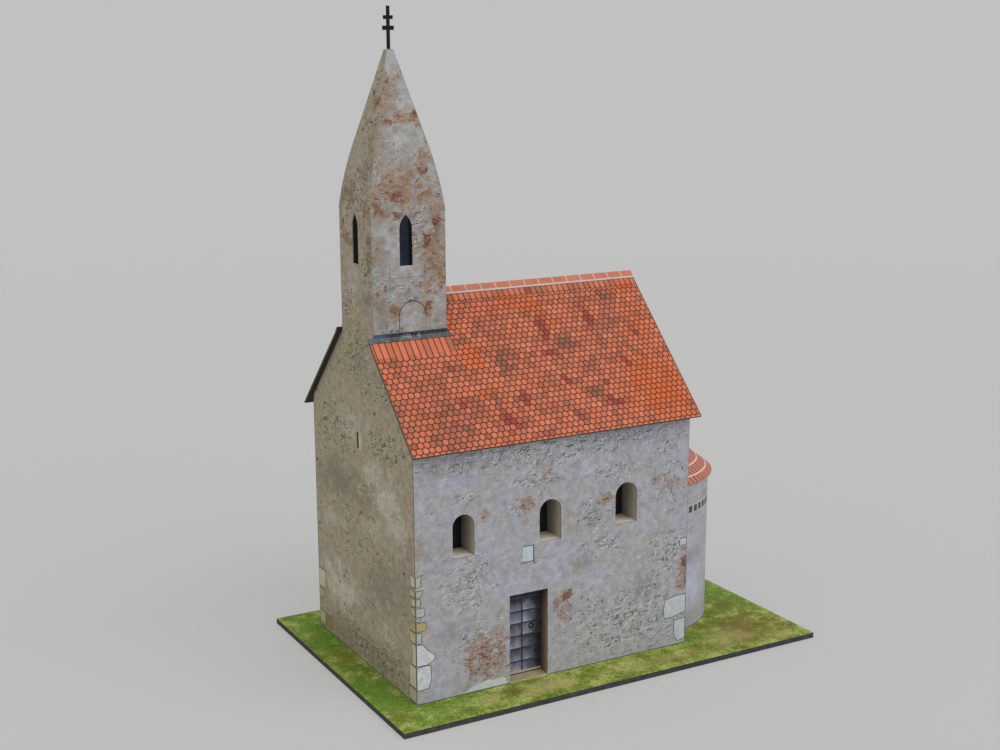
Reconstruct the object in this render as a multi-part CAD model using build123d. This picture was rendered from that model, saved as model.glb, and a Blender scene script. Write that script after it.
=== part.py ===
from build123d import *
import os
from math import cos, radians, sin, tan

# Card model of a small Romanesque chapel at about 1:100: a nave with a saddle roof,
# a half-round apse to the east and a tower with a four-sided spire riding the west
# end of the ridge. Every piece is cut from printed card and glued, so nothing moves.
# X runs from west to east, Y from south to north, Z up, in millimetres.
# The origin is the middle of the base board's underside. The chapel's own pieces are
# drawn about the middle of the nave with the grass at height zero, then set down.

# Card, board and paper
card = 0.3
roof_card = 0.5
base_board_thickness = 1.2
grass_paper = 0.2

# Base board: how far it runs past the walls
west_margin = 9.3
east_margin = 10.9
south_margin = 12.2
north_margin = 9.8

# Nave
nave_length = 80.0
nave_width = 61.0
wall_height = 65.5
roof_pitch = 45.0
eave_overhang = 2.7
verge_overhang = 1.5

# Ridge cap and the flashing round the tower's foot
cap_card = 0.25
cap_leg = 2.2
flashing_card = 0.2
flashing_upstand = 1.0
flashing_apron = 1.4
flashing_run = 2.0

# Round-headed windows in the long walls: they differ a little in width and sill
west_window_width = 6.0
middle_window_width = 6.35
east_window_width = 6.65
west_window_sill = 35.7
middle_window_sill = 35.8
east_window_sill = 36.8
window_height = 10.8
window_depth = 7.0
window_place_shares = {"west": -0.335, "middle": -0.028, "east": 0.256}

# South door
door_width = 11.1
door_height = 23.3
door_depth = 3.6
door_place_share = -0.106

# Apse
apse_radius = 23.6
apse_eave_height = 41.5
apse_eave_overhang = 1.0
apse_roof_rise = 18.7

# Tower: heights are measured from the ridge of the nave roof
tower_length = 20.0
tower_width = 19.0
shaft_rise = 21.5
spire_height = 37.6
spire_top_share = 0.095
# Springing of the spire, as (height, half width) shares of the spire and the shaft
spire_curve_shares = ((0.198, 0.913), (0.39, 0.722))

# Pointed lancets of the tower
lancet_width = 3.45
lancet_sill_rise = 7.9
lancet_leg = 8.9
lancet_arch_radius = 4.4
lancet_backing_lap = 1.0
# How far west of the tower's axis the south and north lancets stand
side_lancet_shift = 0.75

# Double-barred cross
cross_height = 10.2
cross_card = 0.5
cross_shaft_width = 0.75
lower_bar_length = 2.9
lower_bar_height = 1.05
lower_bar_rise = 5.0
upper_bar_length = 2.4
upper_bar_height = 0.9
upper_bar_rise = 7.5

# How far a cutter runs past what it cuts
overrun = 2.0

# Worked out from the sizes above
slope = tan(radians(roof_pitch))
slope_cos = cos(radians(roof_pitch))
slope_sin = sin(radians(roof_pitch))
ground = base_board_thickness + grass_paper
base_length = west_margin + nave_length + apse_radius + east_margin
base_width = south_margin + nave_width + north_margin
nave_x = -base_length / 2 + west_margin + nave_length / 2
nave_y = -base_width / 2 + south_margin + nave_width / 2
west_face = -nave_length / 2
east_face = nave_length / 2
south_face = -nave_width / 2
ridge_under = wall_height + nave_width / 2 * slope
ridge_top = ridge_under + roof_card / slope_cos
tower_x = west_face + tower_length / 2
tower_east = west_face + tower_length
side_lancet_x = tower_x - side_lancet_shift
tower_south = -tower_width / 2
tower_foot = ridge_top + tower_south * slope
spire_foot = ridge_top + shaft_rise
spire_top = spire_foot + spire_height
# Card of the tower as a share of its half length; its south and north faces follow
# the same share of its half width, so that the corner folds stay in line
fold_share = card / (tower_length / 2)
tower_side_card = fold_share * tower_width / 2

parts = {}


def on_ground(solid):
    """Set a chapel piece, drawn about the nave, down on the grass sheet."""
    return Pos(nave_x, nave_y, ground) * solid


def along_x(face, start, end):
    """Extrude a section drawn as (y, z) from one x to another."""
    return extrude(Plane.YZ.offset(start) * face, end - start)


def along_y(face, start, end):
    """Extrude an elevation drawn as (x, z) from one y to another."""
    return extrude(Plane.XZ.offset(-start) * face, start - end)


def polygon(*points):
    return make_face(Polyline(*points, close=True))


def block(x_range, y_range, z_range):
    """Box between pairs of coordinates."""
    lows, highs = zip(x_range, y_range, z_range)
    size = [high - low for low, high in zip(lows, highs)]
    return Pos(*lows) * Box(*size, align=Align.MIN)


def to_north(solid):
    """Mirror a piece of the south side over to the north side."""
    return mirror(solid, Plane.XZ)


# Base

def base_sheet(low, thickness):
    return Pos(0, 0, low) * Box(base_length, base_width, thickness, align=(Align.CENTER, Align.CENTER, Align.MIN))


parts["base_board"] = base_sheet(0, base_board_thickness)
parts["grass_sheet"] = base_sheet(base_board_thickness, grass_paper)


# Nave walls

def round_headed(width, height, sill, lap=0):
    """Outline of a round-headed opening on its sill, grown all round by a lap."""
    radius = width / 2
    legs = height - radius + lap
    foot = Pos(0, sill - lap + legs / 2) * Rectangle(width + 2 * lap, legs)
    head = Pos(0, sill - lap + legs) * Circle(radius + lap)
    return foot + head


def window_outline(name, lap=0):
    outline = round_headed(window_widths[name], window_height, window_sills[name], lap)
    return Pos(window_places[name], 0) * outline


def door_outline(lap=0):
    """Door opening from the ground up, grown by a lap at its sides and head."""
    height = door_height + lap
    return Pos(door_x, height / 2) * Rectangle(door_width + 2 * lap, height)


def long_wall(openings):
    """South wall: its top edge is bevelled to lie flat under the roof."""
    inner_face = south_face + card
    section = polygon(
        (south_face, 0), (inner_face, 0), (inner_face, wall_height + card * slope), (south_face, wall_height)
    )
    wall = along_x(section, west_face, east_face)
    for outline in openings:
        wall -= along_y(outline, south_face - overrun, inner_face + overrun)
    return wall


def gable_wall(outer_x, inner_x):
    """End wall, glued between the long walls and cut to the slope of the roof."""
    half = nave_width / 2 - card
    shoulder = wall_height + card * slope
    outline = polygon((-half, 0), (half, 0), (half, shoulder), (0, ridge_under), (-half, shoulder))
    return along_x(outline, min(outer_x, inner_x), max(outer_x, inner_x))


window_places = {name: share * nave_length for name, share in window_place_shares.items()}
window_widths = {"west": west_window_width, "middle": middle_window_width, "east": east_window_width}
window_sills = {"west": west_window_sill, "middle": middle_window_sill, "east": east_window_sill}
door_x = door_place_share * nave_length
windows = [window_outline(name) for name in window_places]

parts["south_wall"] = on_ground(long_wall(windows + [door_outline()]))
parts["north_wall"] = on_ground(to_north(long_wall(windows)))
parts["west_wall"] = on_ground(gable_wall(west_face, west_face + card))
parts["east_wall"] = on_ground(gable_wall(east_face, east_face - card))


# Window recesses: a bent strip behind each opening, closed by a dark sheet

def window_reveal(name):
    ring = window_outline(name, card) - window_outline(name)
    return along_y(ring, south_face + card, south_face + window_depth)


def window_back(name):
    back_face = south_face + window_depth
    return along_y(window_outline(name, card), back_face, back_face + card)


for name in window_places:
    parts[f"south_window_reveal_{name}"] = on_ground(window_reveal(name))
    parts[f"south_window_back_{name}"] = on_ground(window_back(name))
    parts[f"north_window_reveal_{name}"] = on_ground(to_north(window_reveal(name)))
    parts[f"north_window_back_{name}"] = on_ground(to_north(window_back(name)))


# Door recess: jambs and head in one bent strip, a threshold and the door sheet

door_back = south_face + door_depth
parts["door_reveal"] = on_ground(along_y(door_outline(card) - door_outline(), south_face + card, door_back))
parts["door_leaf"] = on_ground(along_y(door_outline(card), door_back, door_back + card))
parts["door_threshold"] = on_ground(
    block((door_x - door_width / 2, door_x + door_width / 2), (south_face, door_back), (0, card))
)


# Nave roof

def roof_slope():
    """South slope: a flat sheet from the eave to the ridge, notched for the tower."""
    eave_y = south_face - eave_overhang
    eave_z = wall_height - eave_overhang * slope
    section = polygon(
        (eave_y, eave_z),
        (0, ridge_under),
        (0, ridge_top),
        (eave_y - roof_card * slope_sin, eave_z + roof_card * slope_cos),
    )
    sheet = along_x(section, west_face - verge_overhang, east_face + verge_overhang)
    notch = block(
        (west_face - verge_overhang - overrun, west_face + card), (tower_south, overrun), (0, ridge_top + overrun)
    )
    return sheet - notch


def chevron(low_ridge, high_ridge, half):
    """Band that follows both slopes of the roof, between two ridge heights."""
    drop = half * slope
    return polygon(
        (-half, low_ridge - drop),
        (0, low_ridge),
        (half, low_ridge - drop),
        (half, high_ridge - drop),
        (0, high_ridge),
        (-half, high_ridge - drop),
    )


parts["roof_south"] = on_ground(roof_slope())
parts["roof_north"] = on_ground(to_north(roof_slope()))
cap_section = chevron(ridge_top, ridge_top + cap_card / slope_cos, cap_leg * slope_cos)
parts["ridge_cap"] = on_ground(along_x(cap_section, tower_east + flashing_card, east_face + verge_overhang))


# Tower and spire

def tower_elevation(half, inset_share):
    """Elevation of the tower: upright shaft, curved springing, straight spire."""

    def point(width_share, height):
        return half * (width_share - inset_share), height

    bends = [point(width, spire_foot + height * spire_height) for height, width in spire_curve_shares]
    low = min(tower_foot, wall_height)
    springing = point(1, spire_foot)
    tip = point(spire_top_share, spire_top)
    east_side = [Line(point(1, low), springing), Bezier(springing, *bends), Line(bends[-1], tip)]
    west_side = [mirror(edge, Plane.YZ) for edge in east_side]
    ends = [Line((x, z), (-x, z)) for x, z in (point(1, low), tip)]
    return make_face(east_side + west_side + ends)


def tower_mass(inset_share):
    """Solid tower: its two elevations extruded across each other."""
    reach = tower_length + tower_width
    seen_from_south = along_y(tower_elevation(tower_length / 2, inset_share), -reach, reach)
    seen_from_west = along_x(tower_elevation(tower_width / 2, inset_share), -reach, reach)
    return Pos(tower_x, 0, 0) * (seen_from_south & seen_from_west)


def under_roof(ridge, start, end):
    """Everything below a pair of roof planes, between two x."""
    half = nave_width / 2
    outline = polygon((-half, 0), (half, 0), (half, ridge - half * slope), (0, ridge), (-half, ridge - half * slope))
    return along_x(outline, start, end)


def pointed_outline():
    """Lancet: straight jambs under two arcs that meet in a point."""
    half = lancet_width / 2
    sill = ridge_top + lancet_sill_rise
    centre = lancet_arch_radius - half
    arch = Pos(-centre, 0) * Circle(lancet_arch_radius) & Pos(centre, 0) * Circle(lancet_arch_radius)
    legs = Pos(0, sill + lancet_leg / 2) * Rectangle(lancet_width, lancet_leg)
    return legs + Pos(0, sill + lancet_leg) * arch


def tower_shell():
    """Folded card of the tower, cut to stand on the roof and on the west gable."""
    gable_back = west_face + card
    shell = tower_mass(0) - tower_mass(fold_share)
    shell -= under_roof(ridge_top, gable_back, tower_east + overrun)
    shell -= under_roof(ridge_under, west_face - overrun, gable_back)
    lancet = pointed_outline()
    shell -= along_y(Pos(side_lancet_x, 0) * lancet, -tower_width, tower_width)
    shell -= along_x(lancet, west_face - overrun, tower_east + overrun)
    return shell


def quarter(corner_a, corner_b):
    """Wedge from the tower's axis out past two of its corners, given as signs."""
    reach = tower_length + tower_width
    points = [(x * reach * tower_length / 2, y * reach * tower_width / 2) for x, y in (corner_a, corner_b)]
    return Pos(tower_x, 0, 0) * extrude(polygon((0, 0), *points), spire_top + overrun)


def lancet_backing(start, end, across):
    """Dark sheet glued inside one tower face, lapping its lancet."""
    half = lancet_width / 2 + lancet_backing_lap
    low = ridge_top + lancet_sill_rise - lancet_backing_lap
    high = low + lancet_leg + lancet_arch_radius + lancet_backing_lap
    sheet = polygon((-half, low), (half, low), (half, high), (-half, high))
    return across(sheet, start, end)


shell = tower_shell()
south_west, south_east = (-1, -1), (1, -1)
north_west, north_east = (-1, 1), (1, 1)
parts["tower_south"] = on_ground(shell & quarter(south_west, south_east))
parts["tower_east"] = on_ground(shell & quarter(south_east, north_east))
parts["tower_north"] = on_ground(shell & quarter(north_east, north_west))
parts["tower_west"] = on_ground(shell & quarter(north_west, south_west))

side_backing_start = tower_south + tower_side_card
side_backing = Pos(side_lancet_x, 0, 0) * lancet_backing(side_backing_start, side_backing_start + card, along_y)
parts["lancet_back_south"] = on_ground(side_backing)
parts["lancet_back_north"] = on_ground(to_north(side_backing))
parts["lancet_back_west"] = on_ground(lancet_backing(west_face + card, west_face + 2 * card, along_x))
parts["lancet_back_east"] = on_ground(lancet_backing(tower_east - 2 * card, tower_east - card, along_x))

cap_size = (tower_length * spire_top_share, tower_width * spire_top_share)
parts["spire_cap"] = on_ground(
    Pos(tower_x, 0, spire_top) * Box(*cap_size, card, align=(Align.CENTER, Align.CENTER, Align.MIN))
)


def cross_outline():
    """Shaft with two bars, the lower one longer, drawn from its foot up."""
    shaft = Pos(0, cross_height / 2) * Rectangle(cross_shaft_width, cross_height)
    lower = Pos(0, lower_bar_rise) * Rectangle(lower_bar_length, lower_bar_height)
    upper = Pos(0, upper_bar_rise) * Rectangle(upper_bar_length, upper_bar_height)
    return shaft + lower + upper


cross = along_y(cross_outline(), -cross_card / 2, cross_card / 2)
parts["cross"] = on_ground(Pos(tower_x, 0, spire_top + card) * cross)


# Flashing where the tower meets the roof

def side_flashing():
    """South flashing: an upstand on the tower, and an apron down the slope with a slanted end."""
    apron_y = tower_south - flashing_apron * slope_cos
    apron_z = tower_foot - flashing_apron * slope_sin
    apron = polygon(
        (tower_south, tower_foot),
        (apron_y, apron_z),
        (apron_y - flashing_card * slope_sin, apron_z + flashing_card * slope_cos),
        (tower_south, tower_foot + flashing_card / slope_cos),
    )
    upstand = polygon(
        (tower_south, tower_foot),
        (tower_south - flashing_card, tower_foot - flashing_card * slope),
        (tower_south - flashing_card, tower_foot + flashing_upstand),
        (tower_south, tower_foot + flashing_upstand),
    )
    apron_tip_y = apron_y - flashing_card * slope_sin
    apron_east = tower_east + flashing_run
    slanted_end = polygon(
        (tower_east, tower_south), (apron_east, apron_tip_y), (apron_east, tower_south)
    )
    apron_strip = along_x(apron, west_face - verge_overhang, apron_east) - extrude(slanted_end, ridge_top)
    return apron_strip + along_x(upstand, west_face, tower_east)


def end_flashing():
    """East flashing: a narrow strip on the tower that follows the roof over the ridge."""
    upstand = chevron(ridge_top, ridge_top + flashing_upstand, tower_width / 2)
    return along_x(upstand, tower_east, tower_east + flashing_card)


parts["flashing_south"] = on_ground(side_flashing())
parts["flashing_north"] = on_ground(to_north(side_flashing()))
parts["flashing_east"] = on_ground(end_flashing())


# Apse

def half_turn(section):
    """Turn a section drawn as (radius, z) through the half circle east of the nave."""
    start = Plane((east_face, 0, 0), x_dir=(0, -1, 0), z_dir=(-1, 0, 0))
    return revolve(start * section, Axis((east_face, 0, 0), (0, 0, 1)), 180)


def apse_wall():
    """Half-round wall, its top edge bevelled to lie under the half cone."""
    inner = apse_radius - card
    section = polygon(
        (inner, 0), (apse_radius, 0), (apse_radius, apse_under(apse_radius)), (inner, apse_under(inner))
    )
    return half_turn(section)


def apse_under(radius):
    """Height of the underside of the half cone at a radius."""
    return apse_eave_height + apse_roof_rise * (1 - radius / apse_eave_radius)


def apse_roof():
    """Half cone of card against the east wall."""
    section = polygon(
        (0, apse_under(0)),
        (apse_eave_radius, apse_eave_height),
        (apse_eave_radius, apse_eave_height + card),
        (0, apse_under(0) + card),
    )
    return half_turn(section)


apse_eave_radius = apse_radius + apse_eave_overhang
parts["apse_wall"] = on_ground(apse_wall())
parts["apse_roof"] = on_ground(apse_roof())

os.makedirs("parts", exist_ok=True)
for name, solid in parts.items():
    export_step(solid, f"parts/{name}.step")
print(len(parts), "pieces written")
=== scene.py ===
import math
from dataclasses import dataclass, replace

import bmesh
import bpy
from mathutils import Matrix, Vector


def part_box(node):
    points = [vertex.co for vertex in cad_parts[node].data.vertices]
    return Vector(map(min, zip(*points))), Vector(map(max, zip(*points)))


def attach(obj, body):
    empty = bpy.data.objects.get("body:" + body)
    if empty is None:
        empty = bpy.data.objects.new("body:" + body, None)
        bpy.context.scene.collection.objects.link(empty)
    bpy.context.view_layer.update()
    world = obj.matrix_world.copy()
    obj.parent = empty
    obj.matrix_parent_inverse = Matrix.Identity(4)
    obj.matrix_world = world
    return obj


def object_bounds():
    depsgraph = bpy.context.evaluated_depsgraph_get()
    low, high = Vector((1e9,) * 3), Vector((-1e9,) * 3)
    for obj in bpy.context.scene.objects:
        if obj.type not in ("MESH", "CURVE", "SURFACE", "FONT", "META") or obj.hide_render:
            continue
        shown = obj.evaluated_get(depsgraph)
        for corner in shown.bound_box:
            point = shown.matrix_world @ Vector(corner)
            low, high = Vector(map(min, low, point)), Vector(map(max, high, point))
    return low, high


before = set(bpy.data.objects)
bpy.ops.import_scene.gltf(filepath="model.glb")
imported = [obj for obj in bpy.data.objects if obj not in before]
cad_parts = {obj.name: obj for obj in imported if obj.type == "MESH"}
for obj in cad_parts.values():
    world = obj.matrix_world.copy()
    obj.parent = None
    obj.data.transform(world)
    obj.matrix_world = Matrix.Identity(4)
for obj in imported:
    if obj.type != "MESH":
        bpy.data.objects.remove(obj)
cad_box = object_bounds()
scene = bpy.context.scene
scene.view_settings.view_transform = "Standard"

MM = 0.001

# The nave's own middle, at the top of the grass, is the zero of every printed place, in millimetres.
south_low, south_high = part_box("south_wall")
north_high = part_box("north_wall")[1]
NAVE = Vector(((south_low.x + south_high.x) / 2, (south_low.y + north_high.y) / 2, south_low.z))


def box_mm(node):
    """The low and the high corner of a CAD piece, in millimetres from the nave's middle."""
    low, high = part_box(node)
    return (Vector(low) - NAVE) / MM, (Vector(high) - NAVE) / MM


EASTWARD = Vector((1.0, 0.0, 0.0))
NORTHWARD = Vector((0.0, 1.0, 0.0))
WESTWARD = -EASTWARD
SOUTHWARD = -NORTHWARD
WALL_LOW, WALL_HIGH = box_mm("south_wall")
WEST_FACE = WALL_LOW.x
EAST_FACE = WALL_HIGH.x
SOUTH_FACE = WALL_LOW.y
NORTH_FACE = -SOUTH_FACE
GABLE_HALF = NORTH_FACE
PITCH = math.radians(45)
TOWER_LOW, TOWER_HIGH = box_mm("tower_south")
TOWER_MIDDLE = (TOWER_LOW.x + TOWER_HIGH.x) / 2


def linear(channel):
    """One channel of a screen colour, 0 to 255, as linear light."""
    share = channel / 255
    return share / 12.92 if share <= 0.04045 else ((share + 0.055) / 1.055) ** 2.4


def tone(red, green, blue):
    """A colour as it looks on the card, 0 to 255, turned into the shader's linear values."""
    return (linear(red), linear(green), linear(blue), 1.0)


@dataclass(frozen=True)
class Grain:
    """Cloudy noise with patches of about this size in millimetres.

    The shift and the stretch keep noises apart, and the swing is its strength where it is taken about zero.
    """
    size: float
    detail: float = 2.0
    roughness: float = 0.55
    shift: tuple = ()
    stretch: tuple = ()
    swing: float = 1.0


PAPER_FIBRE = Grain(0.22, 1.0)
PAPER_TOOTH = 0.02
PAPER_TOOTH_STRENGTH = 0.25
PATCH_FADE = (1.25, 0.6)
# Sockets of the Mix node when it mixes colours
MIX_SHARE = 0
MIX_UNDER = 6
MIX_OVER = 7
MIX_RESULT = 2


class CardPrint:
    """A printed-card material in the making: each call adds nodes and gives back their output."""

    def __init__(self, name, roughness=0.82, specular=0.2):
        self.material = bpy.data.materials.new(name)
        self.material.use_nodes = True
        self.nodes = self.material.node_tree.nodes
        self.links = self.material.node_tree.links
        self.shader = self.nodes["Principled BSDF"]
        self.shader.inputs["Roughness"].default_value = roughness
        self.shader.inputs["Specular IOR Level"].default_value = specular

    def feed(self, socket, value):
        if isinstance(value, bpy.types.NodeSocket):
            self.links.new(value, socket)
        else:
            socket.default_value = value

    def math(self, operation, *values):
        node = self.nodes.new("ShaderNodeMath")
        node.operation = operation
        for socket, value in zip(node.inputs, values):
            self.feed(socket, value)
        return node.outputs["Value"]

    def chain(self, operation, first, others):
        for other in others:
            first = self.math(operation, first, other)
        return first

    def add(self, first, *others):
        return self.chain("ADD", first, others)

    def times(self, first, *others):
        return self.chain("MULTIPLY", first, others)

    def larger(self, first, *others):
        return self.chain("MAXIMUM", first, others)

    def smaller(self, first, second):
        return self.math("MINIMUM", first, second)

    def minus(self, first, second):
        return self.math("SUBTRACT", first, second)

    def over(self, first, second):
        return self.math("DIVIDE", first, second)

    def above(self, value, limit):
        return self.math("GREATER_THAN", value, limit)

    def whole(self, value):
        return self.math("FLOOR", value)

    def size(self, value):
        return self.math("ABSOLUTE", value)

    def rest(self, share):
        return self.minus(1.0, share)

    def join(self, across, up, deep=0.0):
        node = self.nodes.new("ShaderNodeCombineXYZ")
        for socket, value in zip(node.inputs, (across, up, deep)):
            self.feed(socket, value)
        return node.outputs["Vector"]

    def split(self, vector):
        node = self.nodes.new("ShaderNodeSeparateXYZ")
        self.feed(node.inputs[0], vector)
        return node.outputs["X"], node.outputs["Y"], node.outputs["Z"]

    def vector(self, operation, first, second=(0.0, 0.0, 0.0), output="Vector"):
        node = self.nodes.new("ShaderNodeVectorMath")
        node.operation = operation
        self.feed(node.inputs[0], first)
        self.feed(node.inputs[1], second)
        return node.outputs[output]

    def moved(self, spot, across, up=0.0, deep=0.0):
        return self.vector("ADD", spot, (across, up, deep))

    def stretched(self, spot, across, up=1.0, deep=1.0):
        return self.vector("MULTIPLY", spot, (1 / across, 1 / up, 1 / deep))

    def length(self, vector):
        return self.vector("LENGTH", vector, output="Value")

    def from_nave(self):
        """The place on the object, in millimetres from the nave's middle."""
        coordinates = self.nodes.new("ShaderNodeTexCoord").outputs["Object"]
        return self.stretched(self.vector("SUBTRACT", coordinates, NAVE), MM, MM, MM)

    def facing(self):
        """The way the surface faces, as three values from -1 to 1."""
        return self.split(self.nodes.new("ShaderNodeNewGeometry").outputs["True Normal"])

    def grain(self, spot, kind):
        """Noise from 0 to 1."""
        if kind.shift:
            spot = self.moved(spot, *kind.shift)
        if kind.stretch:
            spot = self.stretched(spot, *kind.stretch)
        node = self.nodes.new("ShaderNodeTexNoise")
        self.feed(node.inputs["Vector"], spot)
        node.inputs["Scale"].default_value = 1 / kind.size
        node.inputs["Detail"].default_value = kind.detail
        node.inputs["Roughness"].default_value = kind.roughness
        return node.outputs["Fac"]

    def swing(self, spot, kind):
        """Noise about zero."""
        return self.times(self.minus(self.grain(spot, kind), 0.5), kind.swing)

    def chance(self, spot):
        """A random value that stays the same all over one printed tile or brick.

        The values named DRAW are added to its place to get another one for the same tile or brick.
        """
        node = self.nodes.new("ShaderNodeTexWhiteNoise")
        node.noise_dimensions = "3D"
        self.feed(node.inputs["Vector"], spot)
        return node.outputs["Value"]

    def step(self, value, edge):
        """Goes smoothly from 0 at the edge's start to 1 at its end."""
        node = self.nodes.new("ShaderNodeMapRange")
        node.interpolation_type = "SMOOTHSTEP"
        self.feed(node.inputs["Value"], value)
        node.inputs["From Min"].default_value, node.inputs["From Max"].default_value = edge
        return node.outputs["Result"]

    def below(self, value, limit, soft):
        """1 where the value is under the limit, with a soft edge."""
        return self.step(value, (limit + soft, limit - soft))

    def band(self, value, middle, half_width, soft):
        """1 within half_width of the middle, with a soft edge."""
        return self.below(self.size(self.minus(value, middle)), half_width, soft)

    def from_middle(self, repeats):
        """How far a place is from the middle of its repeat, 0 to 0.5."""
        return self.size(self.minus(self.math("FRACT", repeats), 0.5))

    def each(self, repeats, half_width, soft):
        """1 round the middle of each repeat."""
        return self.below(self.from_middle(repeats), half_width, soft)

    def spots(self, spot, ragged, places, fade=PATCH_FADE, boxy=False):
        """Oval or boxy patches, each with its own strength, with a ragged edge that fades."""
        covers = []
        for middle, height, half_width, half_height, strength in places:
            node = self.nodes.new("ShaderNodeMapping")
            node.vector_type = "TEXTURE"
            self.feed(node.inputs["Vector"], spot)
            node.inputs["Location"].default_value = (middle, height, 0.0)
            node.inputs["Scale"].default_value = (half_width, half_height, 1.0)
            away = node.outputs["Vector"]
            if boxy:
                across, up, _ = self.split(away)
                distance = self.larger(self.size(across), self.size(up))
            else:
                distance = self.length(away)
            covers.append(self.times(self.step(self.add(distance, ragged), fade), strength))
        return self.larger(*covers) if covers else 0.0

    def blend(self, share, under, over):
        node = self.nodes.new("ShaderNodeMix")
        node.data_type = "RGBA"
        self.feed(node.inputs[MIX_SHARE], share)
        self.feed(node.inputs[MIX_UNDER], under)
        self.feed(node.inputs[MIX_OVER], over)
        return node.outputs[MIX_RESULT]

    def printed(self, colour, share, ink, strength):
        """The colour with ink over it where the share says, at most as strong as given."""
        return self.blend(self.times(share, strength), colour, ink)

    def ramp(self, value, stops):
        node = self.nodes.new("ShaderNodeValToRGB")
        self.feed(node.inputs["Fac"], value)
        elements = node.color_ramp.elements
        while len(elements) < len(stops):
            elements.new(0.5)
        for element, (position, colour) in zip(elements, stops):
            element.position = position
            element.color = colour
        return node.outputs["Color"]

    def graded(self, value, positions, colours):
        """One colour at each position of the value, and blends between them."""
        return self.ramp(value, tuple(zip(positions, colours)))

    def shade(self, colour, amount):
        node = self.nodes.new("ShaderNodeVectorMath")
        node.operation = "SCALE"
        self.feed(node.inputs[0], colour[:3] if isinstance(colour, tuple) else colour)
        self.feed(node.inputs["Scale"], amount)
        return node.outputs["Vector"]

    def darker(self, colour, share, strength):
        return self.shade(colour, self.rest(self.times(share, strength)))

    def uneven(self, colour, value, light):
        """The colour at a low brightness, and brighter by a gain as the value goes up to 1."""
        low, gain = light
        return self.shade(colour, self.add(low, self.times(value, gain)))

    def paper(self, spot):
        """The faint tooth of matt paper."""
        node = self.nodes.new("ShaderNodeBump")
        node.inputs["Strength"].default_value = PAPER_TOOTH_STRENGTH
        node.inputs["Distance"].default_value = PAPER_TOOTH * MM
        self.feed(node.inputs["Height"], self.grain(spot, PAPER_FIBRE))
        self.links.new(node.outputs["Normal"], self.shader.inputs["Normal"])

    def finish(self, colour):
        self.feed(self.shader.inputs["Base Color"], colour)
        return self.material


# Inks and tones of the plaster

PIT_INK = tone(72, 72, 72)
CHALK_INK = tone(188, 189, 188)
# Dark tone of the lines along the walls' folds and feet
EDGE_LINE_TONE = tone(44, 46, 40)
HOLE_INK = tone(58, 54, 44)
RUST_INK = tone(108, 61, 53)
WARM_PIT = tone(66, 61, 45)
WARM_CHALK = tone(182, 174, 150)
GREY_TONES = (tone(151, 151, 160), tone(153, 153, 157), tone(153, 152, 151))
GREY_CLOUD = tone(158, 158, 172)
WARM_TONES = (tone(148, 140, 124), tone(151, 142, 125), tone(150, 140, 117))
TOWER_TONES = (tone(146, 145, 145), tone(145, 142, 138), tone(138, 130, 120))
TOWER_WARM_TONES = (tone(152, 145, 135), tone(150, 141, 128), tone(146, 135, 117))
APSE_TONES = (tone(154, 155, 163), tone(156, 157, 163), tone(156, 155, 156))
GREY_STAINS = (
    (0.36, tone(132, 126, 122)),
    (0.46, tone(152, 136, 124)),
    (0.55, tone(146, 116, 103)),
    (0.64, tone(114, 74, 66)),
)
OCHRE_STAINS = (
    (0.34, tone(126, 117, 106)),
    (0.44, tone(148, 125, 92)),
    (0.55, tone(148, 112, 90)),
    (0.65, tone(112, 68, 58)),
)
BROWN_STAINS = (
    (0.34, tone(140, 130, 112)),
    (0.47, tone(138, 120, 96)),
    (0.58, tone(118, 92, 70)),
    (0.7, tone(92, 66, 50)),
)
BRICK_TONES = (
    (0.1, tone(84, 52, 46)),
    (0.35, tone(122, 66, 55)),
    (0.6, tone(138, 84, 67)),
    (0.9, tone(152, 122, 92)),
)
BLOCK_TONES = (
    (0.38, tone(60, 42, 41)),
    (0.46, tone(106, 60, 53)),
    (0.54, tone(130, 73, 62)),
    (0.64, tone(150, 118, 100)),
)


@dataclass
class Plaster:
    """What is printed on one face.

    A place is its middle across, its middle height, half its width, half its height, and its strength.
    Pit and chalk are the inks of the dark and the light side of a hollow, and pitting is how much of the
    rubble shows all over the face. Mottle, emboss and gash are strengths.
    """
    seed: float
    tones: tuple
    cloud: tuple
    stains: tuple
    stain_strength: float = 0.6
    clouds: tuple = ()
    smoke: tuple = ()
    rubble: tuple = ()
    rust: tuple = ()
    bricks: tuple = ()
    blocks: tuple = ()
    holes: tuple = ()
    pit: tuple = PIT_INK
    chalk: tuple = CHALK_INK
    pitting: float = 0.0
    mottle: float = 0.65
    emboss: float = 1.0
    gash: float = 0.8
    smoke_strength: float = 0.22


# Plaster

TONE_CLOUDS = Grain(6.0, 5.0, 0.65, shift=(31.0, 0.0, 5.0))
TONE_STOPS = (0.36, 0.5, 0.64)
SOFT_EDGE = Grain(4.5, 5.0, 0.62, shift=(0.0, 19.0), swing=4.0)
RAGGED_EDGE = Grain(2.2, 5.0, 0.7, swing=5.0)
PECKED_EDGE = Grain(0.7, 3.0, shift=(5.0,), swing=5.0)
MOTTLE = Grain(1.9, 6.0, 0.75, shift=(3.0, 7.0, 11.0))
RUBBLE_MOTTLE = 0.5
CLOUD_FADE = (1.7, 0.1)
CLOUD_STRENGTH = 0.85
SMOKE_FADE = (1.7, 0.0)
RUBBLE_FADE = (1.4, 0.4)
HOLE_STRENGTH = 0.85


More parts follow.
